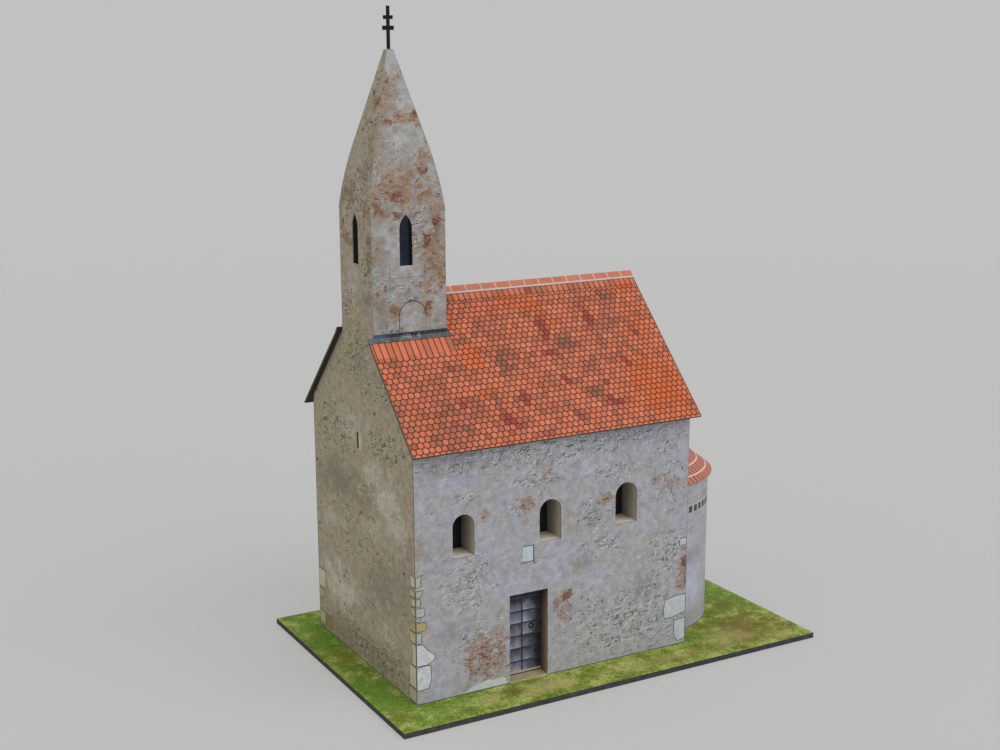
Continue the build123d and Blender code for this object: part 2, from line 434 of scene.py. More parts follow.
def plaster_colour(card, spot, face):
    """Old lime plaster as printed: clouds of colour, rubble that shows through, rust and bare brick."""
    seeded = card.moved(spot, face.seed, 0.0, face.seed)
    soft = card.swing(seeded, SOFT_EDGE)
    ragged = card.swing(seeded, RAGGED_EDGE)
    colour = card.graded(card.grain(seeded, TONE_CLOUDS), TONE_STOPS, face.tones)
    clouds = card.spots(spot, soft, face.clouds, CLOUD_FADE)
    colour = card.printed(colour, clouds, face.cloud, CLOUD_STRENGTH)
    smoke = card.spots(spot, soft, face.smoke, SMOKE_FADE)
    colour = card.darker(colour, smoke, face.smoke_strength)
    rubble = card.add(card.spots(spot, ragged, face.rubble, RUBBLE_FADE), face.pitting)
    rubble = card.smaller(rubble, 1.0)
    contrast = card.add(face.mottle, card.times(rubble, RUBBLE_MOTTLE))
    colour = card.uneven(colour, card.swing(seeded, MOTTLE), (1.0, contrast))
    colour = relief(card, colour, seeded, rubble, face)
    if face.rust or face.bricks:
        colour = worn_patches(card, colour, spot, seeded, ragged, face)
    if face.holes:
        holes = card.spots(spot, card.swing(seeded, PECKED_EDGE), face.holes)
        colour = card.printed(colour, holes, HOLE_INK, HOLE_STRENGTH)
    return colour


RUBBLE_SHIFT = (8.0, 2.0)
RUBBLE_STRETCH = (1.35, 0.85)
CLUMPS = Grain(1.9, 4.0, 0.6, shift=(40.0,))
CLUMP_EDGE = (0.34, 0.6)
SMUDGES = Grain(2.2, 5.0, 0.7, shift=(21.0, 33.0))
SMUDGE_EDGE = (0.48, 0.6)
SMUDGE_STRENGTH = 0.3
# Hollows, how far their light side is shifted, and strength
HOLLOWS = ((Grain(1.6, 3.0, 0.62), 0.45, 0.6), (Grain(0.55, 3.0, 0.62), 0.2, 0.55))
LIT_SLOPE = (0.02, 0.1)
SHADED_SLOPE = (-0.03, -0.13)
GASHES = Grain(0.66, 4.0, 0.65, shift=(77.0, 5.0), stretch=(1.6, 0.8))
GASH_EDGE = (0.525, 0.59)
GASH_SPARED = 0.12


def relief(card, colour, seeded, rubble, face):
    """Rubble lit from the upper left: each small hollow has a dark side and a light one."""
    flat = card.stretched(card.moved(seeded, *RUBBLE_SHIFT), *RUBBLE_STRETCH)
    strength = card.times(rubble, card.step(card.grain(flat, CLUMPS), CLUMP_EDGE))
    smudges = card.step(card.grain(flat, SMUDGES), SMUDGE_EDGE)
    colour = card.darker(colour, card.times(strength, smudges), SMUDGE_STRENGTH)
    for hollow, shift, share in HOLLOWS:
        beside = replace(hollow, shift=(-shift, shift))
        slope = card.times(card.minus(card.grain(flat, hollow), card.grain(flat, beside)), strength)
        colour = card.printed(colour, card.step(slope, LIT_SLOPE), face.chalk, share * face.emboss)
        colour = card.printed(colour, card.step(slope, SHADED_SLOPE), face.pit, share * face.emboss)
    gashes = card.minus(card.grain(seeded, GASHES), card.times(card.rest(strength), GASH_SPARED))
    return card.printed(colour, card.step(gashes, GASH_EDGE), face.pit, face.gash)


WORN_FADE = (1.35, 0.5)
WORN_STRENGTH = 0.85
STAINS = Grain(1.1, 5.0, 0.68, shift=(63.0,), stretch=(1.5, 0.8))
STREAKS = Grain(1.0, 4.0, 0.6, shift=(15.0, 41.0), stretch=(1.9, 0.75))
STREAK_EDGE = (0.53, 0.6)
STREAK_SPARED = 0.3
BLOCK_GRAIN = Grain(0.6, 4.0, 0.6, shift=(52.0,), stretch=(1.6, 0.6))
BLOCK_FADE = (1.3, 0.6)
BLOCK_RAGGED = 0.9
PITS = Grain(0.55, 4.0, 0.7, shift=(33.0,), stretch=(1.3, 0.8))
PIT_EDGE = (0.54, 0.61)


def worn_patches(card, colour, spot, seeded, ragged, face):
    """Rust coloured and ochre places where the plaster has thinned, with rows of broken brick in some."""
    worn = card.spots(spot, ragged, face.rust, WORN_FADE)
    bare = card.spots(spot, ragged, face.bricks, WORN_FADE)
    thin = card.larger(worn, bare)
    stain = card.ramp(card.grain(seeded, STAINS), face.stains)
    colour = card.printed(colour, thin, stain, face.stain_strength)
    streaks = card.minus(card.grain(seeded, STREAKS), card.times(card.rest(worn), STREAK_SPARED))
    colour = card.printed(colour, card.step(streaks, STREAK_EDGE), RUST_INK, WORN_STRENGTH)
    if face.bricks:
        colour = brick_rows(card, colour, spot, seeded, bare, face)
    if face.blocks:
        red = card.ramp(card.grain(seeded, BLOCK_GRAIN), BLOCK_TONES)
        blocks = card.spots(spot, card.times(ragged, BLOCK_RAGGED), face.blocks, BLOCK_FADE, boxy=True)
        colour = card.printed(colour, blocks, red, WORN_STRENGTH)
    pits = card.step(card.grain(seeded, PITS), PIT_EDGE)
    return card.printed(colour, card.times(pits, thin), face.pit, WORN_STRENGTH)


BRICK_LONG = 1.6
BRICK_HIGH = 0.66
BRICK_WOBBLE = Grain(1.1, 3.0, shift=(71.0,), swing=1.8)
ROW_WOBBLE = 0.4
# Half of a brick within its row and within its column, and how soft its edge is
BRICK_IN_ROW = (0.34, 0.2)
BRICK_IN_COLUMN = (0.43, 0.1)
ROW_DRAW = 3.0
TONE_DRAW = 9.0
BRICK_LUCK = 0.7
BRICK_LAID = (0.75, 1.15)
BRICK_BREAKS = Grain(0.6, 4.0, 0.7, shift=(15.0,), stretch=(1.5, 0.8))
BRICK_WHOLE = (0.4, 0.56)
BRICK_LIGHT = (0.35, 1.2)
BRICK_STRENGTH = 0.8
MORTAR_OPEN = (0.6, 0.45)
MORTAR_STRENGTH = 0.5


def brick_rows(card, colour, spot, seeded, bare, face):
    """Rows of thin brick, each brick in its own colour, broken and partly hidden."""
    wobble = card.swing(seeded, BRICK_WOBBLE)
    across, up, _ = card.split(spot)
    rows = card.over(card.add(up, card.times(wobble, ROW_WOBBLE)), BRICK_HIGH)
    row = card.whole(rows)
    shift = card.chance(card.join(row, face.seed, ROW_DRAW))
    columns = card.add(card.over(card.add(across, wobble), BRICK_LONG), shift)
    brick = card.join(card.whole(columns), row, face.seed)
    in_row = card.each(rows, *BRICK_IN_ROW)
    in_column = card.each(columns, *BRICK_IN_COLUMN)
    laid = card.step(card.add(bare, card.times(card.chance(brick), BRICK_LUCK)), BRICK_LAID)
    broken = card.grain(seeded, BRICK_BREAKS)
    bricks = card.ramp(card.chance(card.moved(brick, 0.0, 0.0, TONE_DRAW)), BRICK_TONES)
    bricks = card.uneven(bricks, broken, BRICK_LIGHT)
    shown = card.times(in_row, in_column, laid, card.step(broken, BRICK_WHOLE))
    colour = card.printed(colour, shown, bricks, BRICK_STRENGTH)
    mortar = card.times(card.rest(in_row), laid, card.step(broken, MORTAR_OPEN))
    return card.printed(colour, mortar, face.pit, MORTAR_STRENGTH)


# South wall of the nave: across is east

SOUTH_PRINT = Plaster(
    seed=0.0,
    tones=GREY_TONES,
    cloud=GREY_CLOUD,
    stains=GREY_STAINS,
    stain_strength=0.85,
    clouds=(
        (-29.3, 54.8, 5.8, 2.3, 1.0), (8.0, 53.5, 6.0, 3.0, 1.0), (-18.5, 37.5, 4.5, 4.0, 0.9),
        (-1.0, 29.5, 4.2, 4.0, 1.0), (-11.5, 26.0, 7.0, 2.5, 1.0), (27.2, 36.0, 3.0, 2.5, 0.8),
        (-38.5, 50.5, 2.0, 2.5, 0.9), (37.5, 53.5, 2.5, 2.0, 0.8), (10.0, 23.0, 4.5, 3.0, 0.9),
        (-33.0, 6.5, 5.0, 6.0, 0.7), (28.0, 57.0, 4.0, 2.0, 0.8), (37.8, 34.0, 2.0, 4.0, 0.6),
        (20.0, 61.5, 20.0, 2.5, 0.7), (-25.0, 61.5, 14.0, 2.0, 0.5),
    ),
    smoke=(
        (7.0, 28.0, 3.0, 2.0, 1.0), (26.2, 18.0, 4.5, 3.0, 1.0), (-29.7, 16.5, 4.2, 2.5, 1.0),
        (10.0, 39.5, 4.5, 2.5, 0.8), (22.0, 60.0, 17.0, 2.5, 0.8), (-27.5, 59.5, 12.0, 2.5, 1.0),
        (-33.0, 38.0, 4.0, 1.8, 0.7),
    ),
    rubble=(
        (-26.8, 50.5, 3.6, 1.7, 0.9), (-5.3, 52.8, 6.8, 3.8, 0.8), (16.0, 51.5, 8.5, 2.5, 0.6),
        (10.0, 41.0, 5.0, 4.5, 0.9), (34.0, 45.5, 4.0, 7.2, 0.7), (-25.5, 28.5, 7.0, 6.5, 0.8),
        (13.8, 32.5, 5.2, 3.0, 0.9), (33.0, 26.0, 6.5, 5.5, 0.9), (2.0, 16.5, 3.2, 5.4, 1.0),
        (20.5, 10.0, 16.5, 9.0, 1.0), (-21.5, 11.0, 7.5, 7.5, 0.8), (0.0, 60.2, 42.0, 3.8, 1.0),
        (-8.0, 31.0, 3.0, 1.0, 0.7), (-12.0, 45.5, 3.0, 2.5, 0.7), (33.0, 55.5, 5.0, 2.0, 0.6),
    ),
    rust=(
        (-9.0, 46.2, 2.2, 1.9, 1.0), (-9.2, 42.2, 1.6, 1.0, 0.6), (-39.0, 39.5, 1.8, 3.0, 0.6),
        (-20.8, 45.2, 1.4, 1.1, 0.8), (14.5, 44.2, 3.4, 1.2, 1.0), (29.5, 47.1, 1.6, 1.4, 1.0),
        (35.2, 45.5, 2.8, 1.6, 0.7), (1.6, 16.2, 2.2, 3.4, 0.75), (-20.7, 8.5, 6.2, 5.7, 1.0),
        (39.2, 20.5, 1.6, 6.5, 1.0), (-3.5, 54.5, 2.0, 2.5, 0.5), (3.0, 42.0, 1.0, 1.2, 0.5),
        (-18.0, 14.0, 3.0, 2.5, 0.7), (5.2, 54.5, 1.5, 1.0, 0.4),
    ),
    bricks=((0.6, 19.4, 2.2, 1.8, 0.7), (38.8, 17.0, 1.8, 2.4, 0.8), (39.0, 26.5, 1.4, 1.0, 0.6)),
    blocks=((2.9, 20.3, 1.25, 1.35, 1.0), (39.5, 22.9, 0.9, 1.7, 1.0)),
    pitting=0.18,
    mottle=1.2,
    gash=0.85,
)

# North wall: the same kind of marks in other places

NORTH_PRINT = Plaster(
    seed=57.0,
    tones=GREY_TONES,
    cloud=GREY_CLOUD,
    stains=GREY_STAINS,
    clouds=(
        (25.0, 53.0, 8.0, 3.0, 1.0), (-14.0, 50.0, 6.0, 4.0, 0.9), (4.0, 26.0, 7.0, 4.0, 1.0),
        (-30.0, 30.0, 5.0, 5.0, 0.8), (30.0, 20.0, 5.0, 6.0, 0.8), (-8.0, 8.0, 6.0, 4.0, 0.8),
    ),
    smoke=((12.0, 36.0, 6.0, 3.0, 1.0), (-22.0, 16.0, 7.0, 3.0, 1.0), (0.0, 62.6, 42.0, 1.6, 0.9)),
    rubble=(
        (0.0, 60.2, 42.0, 3.4, 0.9), (10.0, 50.0, 9.0, 4.0, 0.7), (-33.0, 48.0, 5.0, 6.0, 0.8),
        (-12.0, 30.0, 8.0, 5.0, 0.8), (22.0, 32.0, 7.0, 5.0, 0.8), (16.0, 10.0, 14.0, 8.0, 0.9),
        (-30.0, 12.0, 7.0, 7.0, 0.8),
    ),
    rust=((18.0, 12.0, 6.0, 6.0, 0.8), (-36.0, 24.0, 2.5, 5.0, 0.8), (-4.0, 47.0, 2.0, 1.5, 0.6)),
    bricks=((-37.0, 25.0, 1.5, 2.5, 1.0), (17.0, 15.0, 1.8, 1.6, 0.9)),
    pitting=0.12,
)

# West gable: across is south

HOLE_HALF = (0.5, 0.4)
WEST_HOLES = (
    (1.4, 90.1), (-12.5, 77.6), (9.1, 68.6), (25.7, 61.6), (1.1, 46.7), (-9.4, 30.1), (-1.8, 31.4),
    (-15.6, 17.2), (5.6, 17.6), (-12.5, 19.6), (-9.1, 32.6), (9.1, 32.4), (24.5, 31.9), (-18.2, 38.9),
    (-7.1, 48.0), (5.2, 12.8), (-29.0, 48.0), (-28.6, 30.0),
)
WEST_PRINT = Plaster(
    seed=23.0,
    tones=WARM_TONES,
    cloud=tone(180, 173, 165),
    stains=BROWN_STAINS,
    clouds=(
        (15.6, 48.1, 6.8, 5.0, 0.9), (-15.1, 16.0, 9.6, 5.7, 1.0), (13.8, 11.7, 4.3, 2.9, 0.7),
        (6.5, 52.5, 4.5, 3.0, 0.8), (20.5, 42.5, 5.0, 4.5, 0.8), (-4.0, 63.0, 6.0, 3.5, 0.6),
        (8.0, 38.0, 5.0, 3.0, 0.5), (-20.0, 34.0, 6.0, 2.5, 0.5),
    ),
    smoke=(
        (-14.0, 46.0, 13.0, 4.3, 0.9), (2.4, 44.0, 4.3, 2.5, 0.8), (12.4, 24.6, 9.3, 6.4, 0.7),
        (0.2, 81.7, 8.6, 6.4, 0.5), (0.0, 3.0, 31.0, 4.4, 0.9), (-24.0, 44.0, 6.0, 3.0, 0.7),
        (24.0, 28.0, 6.0, 8.0, 0.5),
    ),
    rubble=(
        (-16.2, 59.6, 10.7, 6.4, 0.9), (12.4, 75.0, 8.6, 3.6, 1.0), (13.0, 61.0, 8.5, 4.0, 1.0),
        (3.8, 46.7, 5.7, 3.2, 0.5), (-11.6, 38.1, 4.6, 2.9, 0.7), (3.0, 40.3, 6.4, 1.5, 0.8),
        (3.8, 4.9, 17.5, 3.2, 1.0), (-8.0, 8.5, 8.0, 3.0, 0.6), (16.0, 9.0, 6.0, 4.0, 0.6),
        (-26.0, 66.0, 3.0, 4.0, 0.5), (0.0, 83.0, 9.0, 6.0, 0.6), (2.0, 30.0, 20.0, 8.0, 0.25),
    ),
    rust=((27.7, 38.9, 1.4, 3.0, 0.5), (-27.5, 33.0, 2.0, 2.0, 0.35), (22.0, 8.0, 2.0, 3.0, 0.3)),
    holes=tuple((across, up, *HOLE_HALF, 1.0) for across, up in WEST_HOLES),
    pit=WARM_PIT,
    chalk=WARM_CHALK,
    pitting=0.25,
    mottle=1.35,
    gash=1.0,
    smoke_strength=0.34,
)

# East gable over the apse: plain plaster, across is north

EAST_PRINT = Plaster(
    seed=91.0,
    tones=GREY_TONES,
    cloud=GREY_CLOUD,
    stains=GREY_STAINS,
    clouds=((-12.0, 66.0, 8.0, 5.0, 0.9), (14.0, 76.0, 5.0, 4.0, 0.9), (26.5, 20.0, 3.0, 9.0, 0.8)),
    smoke=((0.0, 84.0, 8.0, 5.0, 0.8), (-18.0, 56.0, 8.0, 4.0, 0.9)),
    rubble=(
        (4.0, 70.0, 9.0, 4.0, 0.8), (-20.0, 62.0, 6.0, 4.0, 0.7), (20.0, 60.0, 7.0, 4.0, 0.8),
        (-27.0, 22.0, 3.0, 14.0, 0.8),
    ),
    rust=((-27.0, 34.0, 2.5, 4.0, 0.7), (8.0, 78.0, 3.0, 2.0, 0.5)),
    pitting=0.12,
)

# Tower: across is east from the nave's middle

TOWER_SOUTH_PRINT = Plaster(
    seed=130.0,
    tones=TOWER_TONES,
    cloud=tone(161, 161, 165),
    stains=OCHRE_STAINS,
    stain_strength=0.85,
    clouds=(
        (-34.5, 108.5, 2.4, 6.0, 0.9), (-30.5, 103.5, 4.0, 1.5, 0.8), (-29.3, 90.5, 3.0, 3.0, 0.7),
        (-31.0, 135.0, 4.0, 3.0, 0.9), (-28.0, 145.0, 2.5, 3.5, 0.9), (-22.2, 96.5, 2.0, 3.0, 0.7),
        (-30.0, 155.0, 3.0, 5.0, 1.0), (-36.5, 113.0, 2.0, 2.0, 0.8),
    ),
    smoke=(
        (-37.5, 93.0, 2.5, 4.5, 0.7), (-37.0, 106.0, 2.5, 7.0, 0.6), (-35.5, 140.0, 2.0, 6.0, 0.6),
        (-34.0, 134.0, 2.0, 1.5, 0.7),
    ),
    rubble=(
        (-36.0, 99.0, 3.3, 2.0, 0.8), (-27.3, 113.0, 2.0, 4.3, 0.9), (-26.0, 99.3, 3.0, 1.7, 1.0),
        (-24.2, 130.5, 2.0, 1.5, 1.0), (-33.7, 134.1, 1.3, 1.0, 0.8), (-30.0, 96.0, 5.0, 0.9, 0.8),
        (-37.0, 128.0, 1.5, 3.0, 0.6), (-21.5, 121.0, 1.0, 3.0, 0.7), (-36.0, 88.5, 3.0, 1.5, 0.6),
        (-29.0, 117.5, 6.0, 1.5, 0.7),
    ),
    rust=(
        (-21.3, 101.0, 1.7, 3.7, 0.9), (-38.3, 109.0, 1.3, 2.7, 0.8), (-34.2, 93.3, 1.6, 2.0, 0.8),
        (-25.2, 93.7, 1.3, 2.0, 1.0), (-38.7, 97.7, 0.8, 1.0, 0.8), (-31.7, 123.2, 7.7, 4.9, 0.7),
        (-29.3, 139.8, 5.0, 1.5, 0.8), (-32.3, 143.7, 1.7, 2.0, 0.4), (-29.7, 149.5, 1.7, 1.2, 0.6),
        (-26.0, 99.3, 2.3, 1.5, 0.5), (-35.5, 107.0, 1.0, 1.2, 0.4), (-24.2, 130.5, 2.0, 1.5, 0.8),
        (-36.5, 131.0, 2.0, 5.0, 0.3), (-33.0, 145.5, 2.2, 6.0, 0.8), (-37.5, 95.0, 1.5, 5.0, 0.4),
        (-22.5, 118.0, 2.0, 4.0, 0.6),
    ),
    bricks=(
        (-23.0, 105.7, 3.0, 8.0, 0.7), (-37.0, 117.7, 2.7, 1.7, 0.8), (-36.3, 124.5, 1.3, 1.3, 0.8),
        (-38.0, 119.7, 1.7, 1.7, 0.8), (-33.8, 122.0, 4.4, 2.8, 0.8), (-26.0, 121.0, 2.3, 2.0, 0.8),
        (-30.0, 124.0, 5.0, 3.5, 0.55), (-32.8, 138.8, 0.9, 0.9, 0.9), (-25.7, 140.0, 1.3, 2.0, 0.9),
        (-34.2, 93.3, 1.0, 1.4, 0.7), (-25.0, 94.0, 0.9, 1.5, 0.9),
    ),
    blocks=(
        (-22.2, 114.2, 1.3, 1.8, 1.0), (-25.0, 110.7, 1.0, 1.3, 1.0), (-32.8, 116.8, 1.2, 0.9, 1.0),
        (-33.3, 121.2, 1.5, 1.1, 1.0), (-25.4, 126.8, 1.4, 1.4, 1.0), (-25.3, 140.8, 0.8, 0.6, 0.8),
        (-32.8, 138.8, 0.7, 0.6, 0.7), (-24.9, 94.2, 0.8, 1.1, 0.9), (-34.3, 94.2, 0.9, 0.7, 0.6),
        (-37.9, 118.6, 1.0, 0.7, 0.6),
    ),
    pitting=0.4,
    mottle=1.2,
    emboss=0.75,
    gash=1.0,
)
TOWER_NORTH_PRINT = replace(TOWER_SOUTH_PRINT, seed=171.0)
TOWER_EAST_PRINT = replace(TOWER_SOUTH_PRINT, seed=254.0)

# Tower's west side: across is south

TOWER_WEST_PRINT = Plaster(
    seed=213.0,
    tones=TOWER_WARM_TONES,
    cloud=tone(164, 158, 150),
    stains=BROWN_STAINS,
    stain_strength=0.75,
    clouds=((-2.0, 99.0, 3.0, 6.0, 0.7), (-5.0, 118.0, 2.0, 5.0, 0.6)),
    smoke=((4.0, 95.0, 5.0, 2.0, 0.6), (6.0, 132.0, 3.0, 8.0, 0.4)),
    rubble=(
        (0.0, 122.0, 8.0, 6.0, 0.7), (3.0, 138.0, 4.0, 6.0, 0.7), (-4.0, 93.0, 5.0, 5.0, 0.6),
        (6.0, 103.0, 3.0, 5.0, 0.6), (0.0, 150.0, 3.0, 4.0, 0.5),
    ),
    rust=(
        (-4.2, 110.3, 3.0, 1.4, 1.0), (8.2, 110.7, 1.8, 1.6, 1.0), (7.6, 106.3, 2.4, 3.0, 1.0),
        (-5.0, 121.0, 4.0, 3.5, 0.9), (2.0, 143.5, 2.6, 1.6, 1.0), (6.5, 118.0, 2.5, 2.5, 0.9),
        (-7.0, 114.0, 2.0, 2.0, 0.9), (3.0, 127.0, 3.0, 3.0, 0.7), (7.0, 97.0, 2.0, 2.0, 0.7),
    ),
    holes=((1.3, 90.0, 0.6, 0.5, 1.0), (-2.0, 137.0, 0.5, 0.5, 1.0), (-1.0, 146.0, 0.6, 0.5, 0.8)),
    pit=WARM_PIT,
    chalk=WARM_CHALK,
    pitting=0.35,
    mottle=1.3,
    emboss=0.7,
    gash=0.9,
    smoke_strength=0.3,
)

# Apse: across follows the curve

APSE_PRINT = Plaster(
    seed=305.0,
    tones=APSE_TONES,
    cloud=tone(172, 176, 198),
    stains=GREY_STAINS,
    clouds=(
        (-30.0, 11.5, 6.0, 6.0, 1.0), (-32.0, 25.5, 5.0, 2.0, 0.6), (-8.0, 18.0, 8.0, 6.0, 1.0),
        (20.0, 14.0, 9.0, 7.0, 1.0),
    ),
    smoke=((-30.0, 3.0, 6.0, 3.0, 0.9), (0.0, 3.0, 40.0, 2.0, 0.6), (-30.0, 20.5, 6.0, 2.2, 0.9)),
    rubble=(
        (-32.0, 28.5, 4.0, 1.2, 0.9), (-33.0, 31.0, 5.0, 1.0, 0.7), (-31.0, 5.0, 3.0, 1.5, 0.8),
        (0.0, 29.5, 30.0, 1.5, 0.7), (10.0, 8.0, 9.0, 4.0, 0.7), (-12.0, 40.0, 40.0, 2.0, 0.4),
    ),
    rust=(
        (-20.0, 37.0, 5.0, 0.7, 0.9), (0.0, 37.0, 30.0, 0.5, 0.5), (28.0, 37.0, 6.0, 0.7, 0.7),
        (6.0, 9.0, 4.0, 3.0, 0.5),
    ),
    pitting=0.08,
)

# Plastered walls with the lines printed on them

FOLD_LINE = 0.16
WALL_FOLD_STRENGTH = 0.6
GABLE_FOLD_STRENGTH = 0.7
TOWER_FOLD_STRENGTH = 0.5
FOOT_EDGE = (0.3, 0.15)
FOOT_STRENGTH = 0.8


def wall_card(name, face, along, shift=0.0):
    """Starts a plastered face: its print, and the places across and up for the lines drawn on it."""
    card = CardPrint(name)
    place = card.from_nave()
    across = card.add(card.vector("DOT_PRODUCT", place, along, output="Value"), shift)
    up = card.split(place)[2]
    spot = card.join(across, up)
    card.paper(spot)
    return card, plaster_colour(card, spot, face), across, up


def foot_line(card, colour, up):
    return card.printed(colour, card.step(up, FOOT_EDGE), EDGE_LINE_TONE, FOOT_STRENGTH)


def edge_lines(card, colour, across, up, half_width, fold_strength):
    """Dark lines along a wall's two folds and its foot."""
    fold = card.step(card.size(across), (half_width - FOLD_LINE, half_width))
    return foot_line(card, card.printed(colour, fold, EDGE_LINE_TONE, fold_strength), up)


def nave_wall_print(name, face, along, half_width):
    card, colour, across, up = wall_card(name, face, along)
    return card.finish(edge_lines(card, colour, across, up, half_width, WALL_FOLD_STRENGTH))


SLIT_PATCH = tone(180, 179, 158)
SLIT_PATCH_STRENGTH = 0.7
# Middle, half of the size, and how soft the edge is
SLIT_PATCH_ACROSS = (-0.1, 0.9, 0.3)
SLIT_PATCH_UP = (58.8, 1.9, 0.4)
CRACK_SOUTH_END = Vector((3.1, 87.4))
CRACK_NORTH_END = Vector((-18.4, 73.9))
CRACK_WANDER = Grain(3.0, swing=2.0)
CRACK_WIDTH = (0.12, 0.1)
CRACK_END_SOFT = 0.8
CRACK_STRENGTH = 0.45


def gable_crack(card, across, up):
    """A faint crooked crack that climbs to the south."""
    run = CRACK_SOUTH_END - CRACK_NORTH_END
    middle = (CRACK_SOUTH_END + CRACK_NORTH_END) / 2
    straight = card.add(card.times(card.minus(across, middle.x), run.y / run.x), middle.y)
    wander = card.swing(card.join(across, up), CRACK_WANDER)
    on_crack = card.band(card.add(card.minus(up, straight), wander), 0.0, *CRACK_WIDTH)
    return card.times(on_crack, card.band(across, middle.x, run.x / 2, CRACK_END_SOFT))


def west_wall_print():
    """The gable's print, with a patched slit and a faint crack."""
    card, colour, across, up = wall_card("west_plaster_print", WEST_PRINT, SOUTHWARD)
    patch = card.times(card.band(across, *SLIT_PATCH_ACROSS), card.band(up, *SLIT_PATCH_UP))
    colour = card.printed(colour, patch, SLIT_PATCH, SLIT_PATCH_STRENGTH)
    colour = card.printed(colour, gable_crack(card, across, up), WARM_PIT, CRACK_STRENGTH)
    return card.finish(edge_lines(card, colour, across, up, GABLE_HALF, GABLE_FOLD_STRENGTH))


PANEL_LEFT = -35.2
PANEL_RIGHT = -25.8
PANEL_FOOT = 101.7
PANEL_TOP = 105.8
PANEL_INK = tone(96, 94, 94)
PANEL_STRENGTH = 0.6
ARCH_MIDDLE = -29.3
ARCH_HALF = 3.6
ARCH_SPRING = 92.2
ARCH_LINE = 0.13
ARCH_INK = tone(66, 64, 64)
ARCH_STRENGTH = 1.0
FAINT_LEG_STRENGTH = 0.4
TOWER_LINE = 0.1


def drawn_line(card, across, up, start, end):
    """A thin level or upright line between two places."""
    share = 1.0
    for value, first, last in zip((across, up), start, end):
        half = abs(last - first) / 2
        soft = TOWER_LINE if half else TOWER_LINE / 2
        share = card.times(share, card.band(value, (first + last) / 2, half or TOWER_LINE, soft))
    return share


def sill_panel(card, across, up):
    """Three sides of a panel under the lancet."""
    corners = ((PANEL_LEFT, PANEL_TOP), (PANEL_LEFT, PANEL_FOOT),
               (PANEL_RIGHT, PANEL_FOOT), (PANEL_RIGHT, PANEL_TOP))
    return card.larger(*(drawn_line(card, across, up, *ends) for ends in zip(corners, corners[1:])))


def walled_arch(card, across, up):
    """The outline of a walled-up arch, fainter down its east leg."""
    from_spring = card.join(card.minus(across, ARCH_MIDDLE), card.minus(up, ARCH_SPRING))
    ring = card.band(card.length(from_spring), ARCH_HALF, ARCH_LINE, ARCH_LINE / 2)
    legs = []
    for leg, strength in ((ARCH_MIDDLE - ARCH_HALF, 1.0), (ARCH_MIDDLE + ARCH_HALF, FAINT_LEG_STRENGTH)):
        line = drawn_line(card, across, up, (leg, TOWER_LOW.z), (leg, ARCH_SPRING))
        legs.append(card.times(line, strength))
    return card.larger(card.times(ring, card.above(up, ARCH_SPRING)), *legs)


def tower_side_print(name, face, along, shift=0.0):
    """A tower face with the drawn panel under its lancet and the outline of a walled-up arch."""
    card, colour, across, up = wall_card(name, face, along, shift)
    colour = card.printed(colour, sill_panel(card, across, up), PANEL_INK, PANEL_STRENGTH)
    colour = card.printed(colour, walled_arch(card, across, up), ARCH_INK, ARCH_STRENGTH)
    fold = card.step(across, (TOWER_LOW.x + FOLD_LINE, TOWER_LOW.x))
    return card.finish(card.printed(colour, fold, EDGE_LINE_TONE, TOWER_FOLD_STRENGTH))


def tower_west_print():
    card, colour, _, _ = wall_card("tower_west_print", TOWER_WEST_PRINT, SOUTHWARD)
    return card.finish(colour)


NICHE_STEP = 2.4
# Half of a niche within its step, and how soft its edge is
NICHE_HALF = (0.33, 0.07)
# Middle height, half of the height, and how soft the edge is
NICHE_ROW = (34.0, 0.9, 0.2)
NICHE_GROUND = (34.6, 1.8, 0.3)
NICHE_LEDGE = (36.0, 0.14, 0.1)
NICHE_INK = tone(48, 46, 50)
NICHE_STRENGTH = 0.9
NICHE_PALE = tone(176, 172, 164)
NICHE_PALE_STRENGTH = 0.32
LEDGE_STRENGTH = 0.4


def apse_wall_print():
    """The round wall's print, with a frieze of small dark niches under the eave."""
    card = CardPrint("apse_plaster_print")
    x, y, up = card.split(card.from_nave())
    radius = box_mm("apse_wall")[1].y
    around = card.times(card.math("ARCTAN2", y, card.minus(x, EAST_FACE)), radius)
    spot = card.join(around, up)
    card.paper(spot)
    colour = plaster_colour(card, spot, APSE_PRINT)
    colour = card.printed(colour, card.band(up, *NICHE_GROUND), NICHE_PALE, NICHE_PALE_STRENGTH)
    niches = card.times(card.each(card.over(around, NICHE_STEP), *NICHE_HALF), card.band(up, *NICHE_ROW))
    colour = card.printed(colour, niches, NICHE_INK, NICHE_STRENGTH)
    colour = card.printed(colour, card.band(up, *NICHE_LEDGE), NICHE_INK, LEDGE_STRENGTH)
    return card.finish(foot_line(card, colour, up))


# Tiles of the nave's roof

TILE_GLOSS = {"roughness": 0.7, "specular": 0.3}
TILE_ACROSS = 1.645
TILE_UP = 1.535
TILE_TIP = 0.9
TILE_ROUNDING = 0.2
TILE_SALMON = tone(190, 102, 70)
TILE_PALE = tone(200, 116, 86)
TILE_BROWN = tone(124, 75, 58)
TILE_OLIVE = tone(122, 82, 58)
TILE_ORANGE = tone(193, 90, 38)
TILE_DARK_RED = tone(134, 54, 43)
TILE_LINE = tone(70, 27, 17)
LONG_TILE_EAST = TOWER_HIGH.x + 0.6
LONG_TILE_LOW = 28.2
TOP_TILE_LOW = 43.2

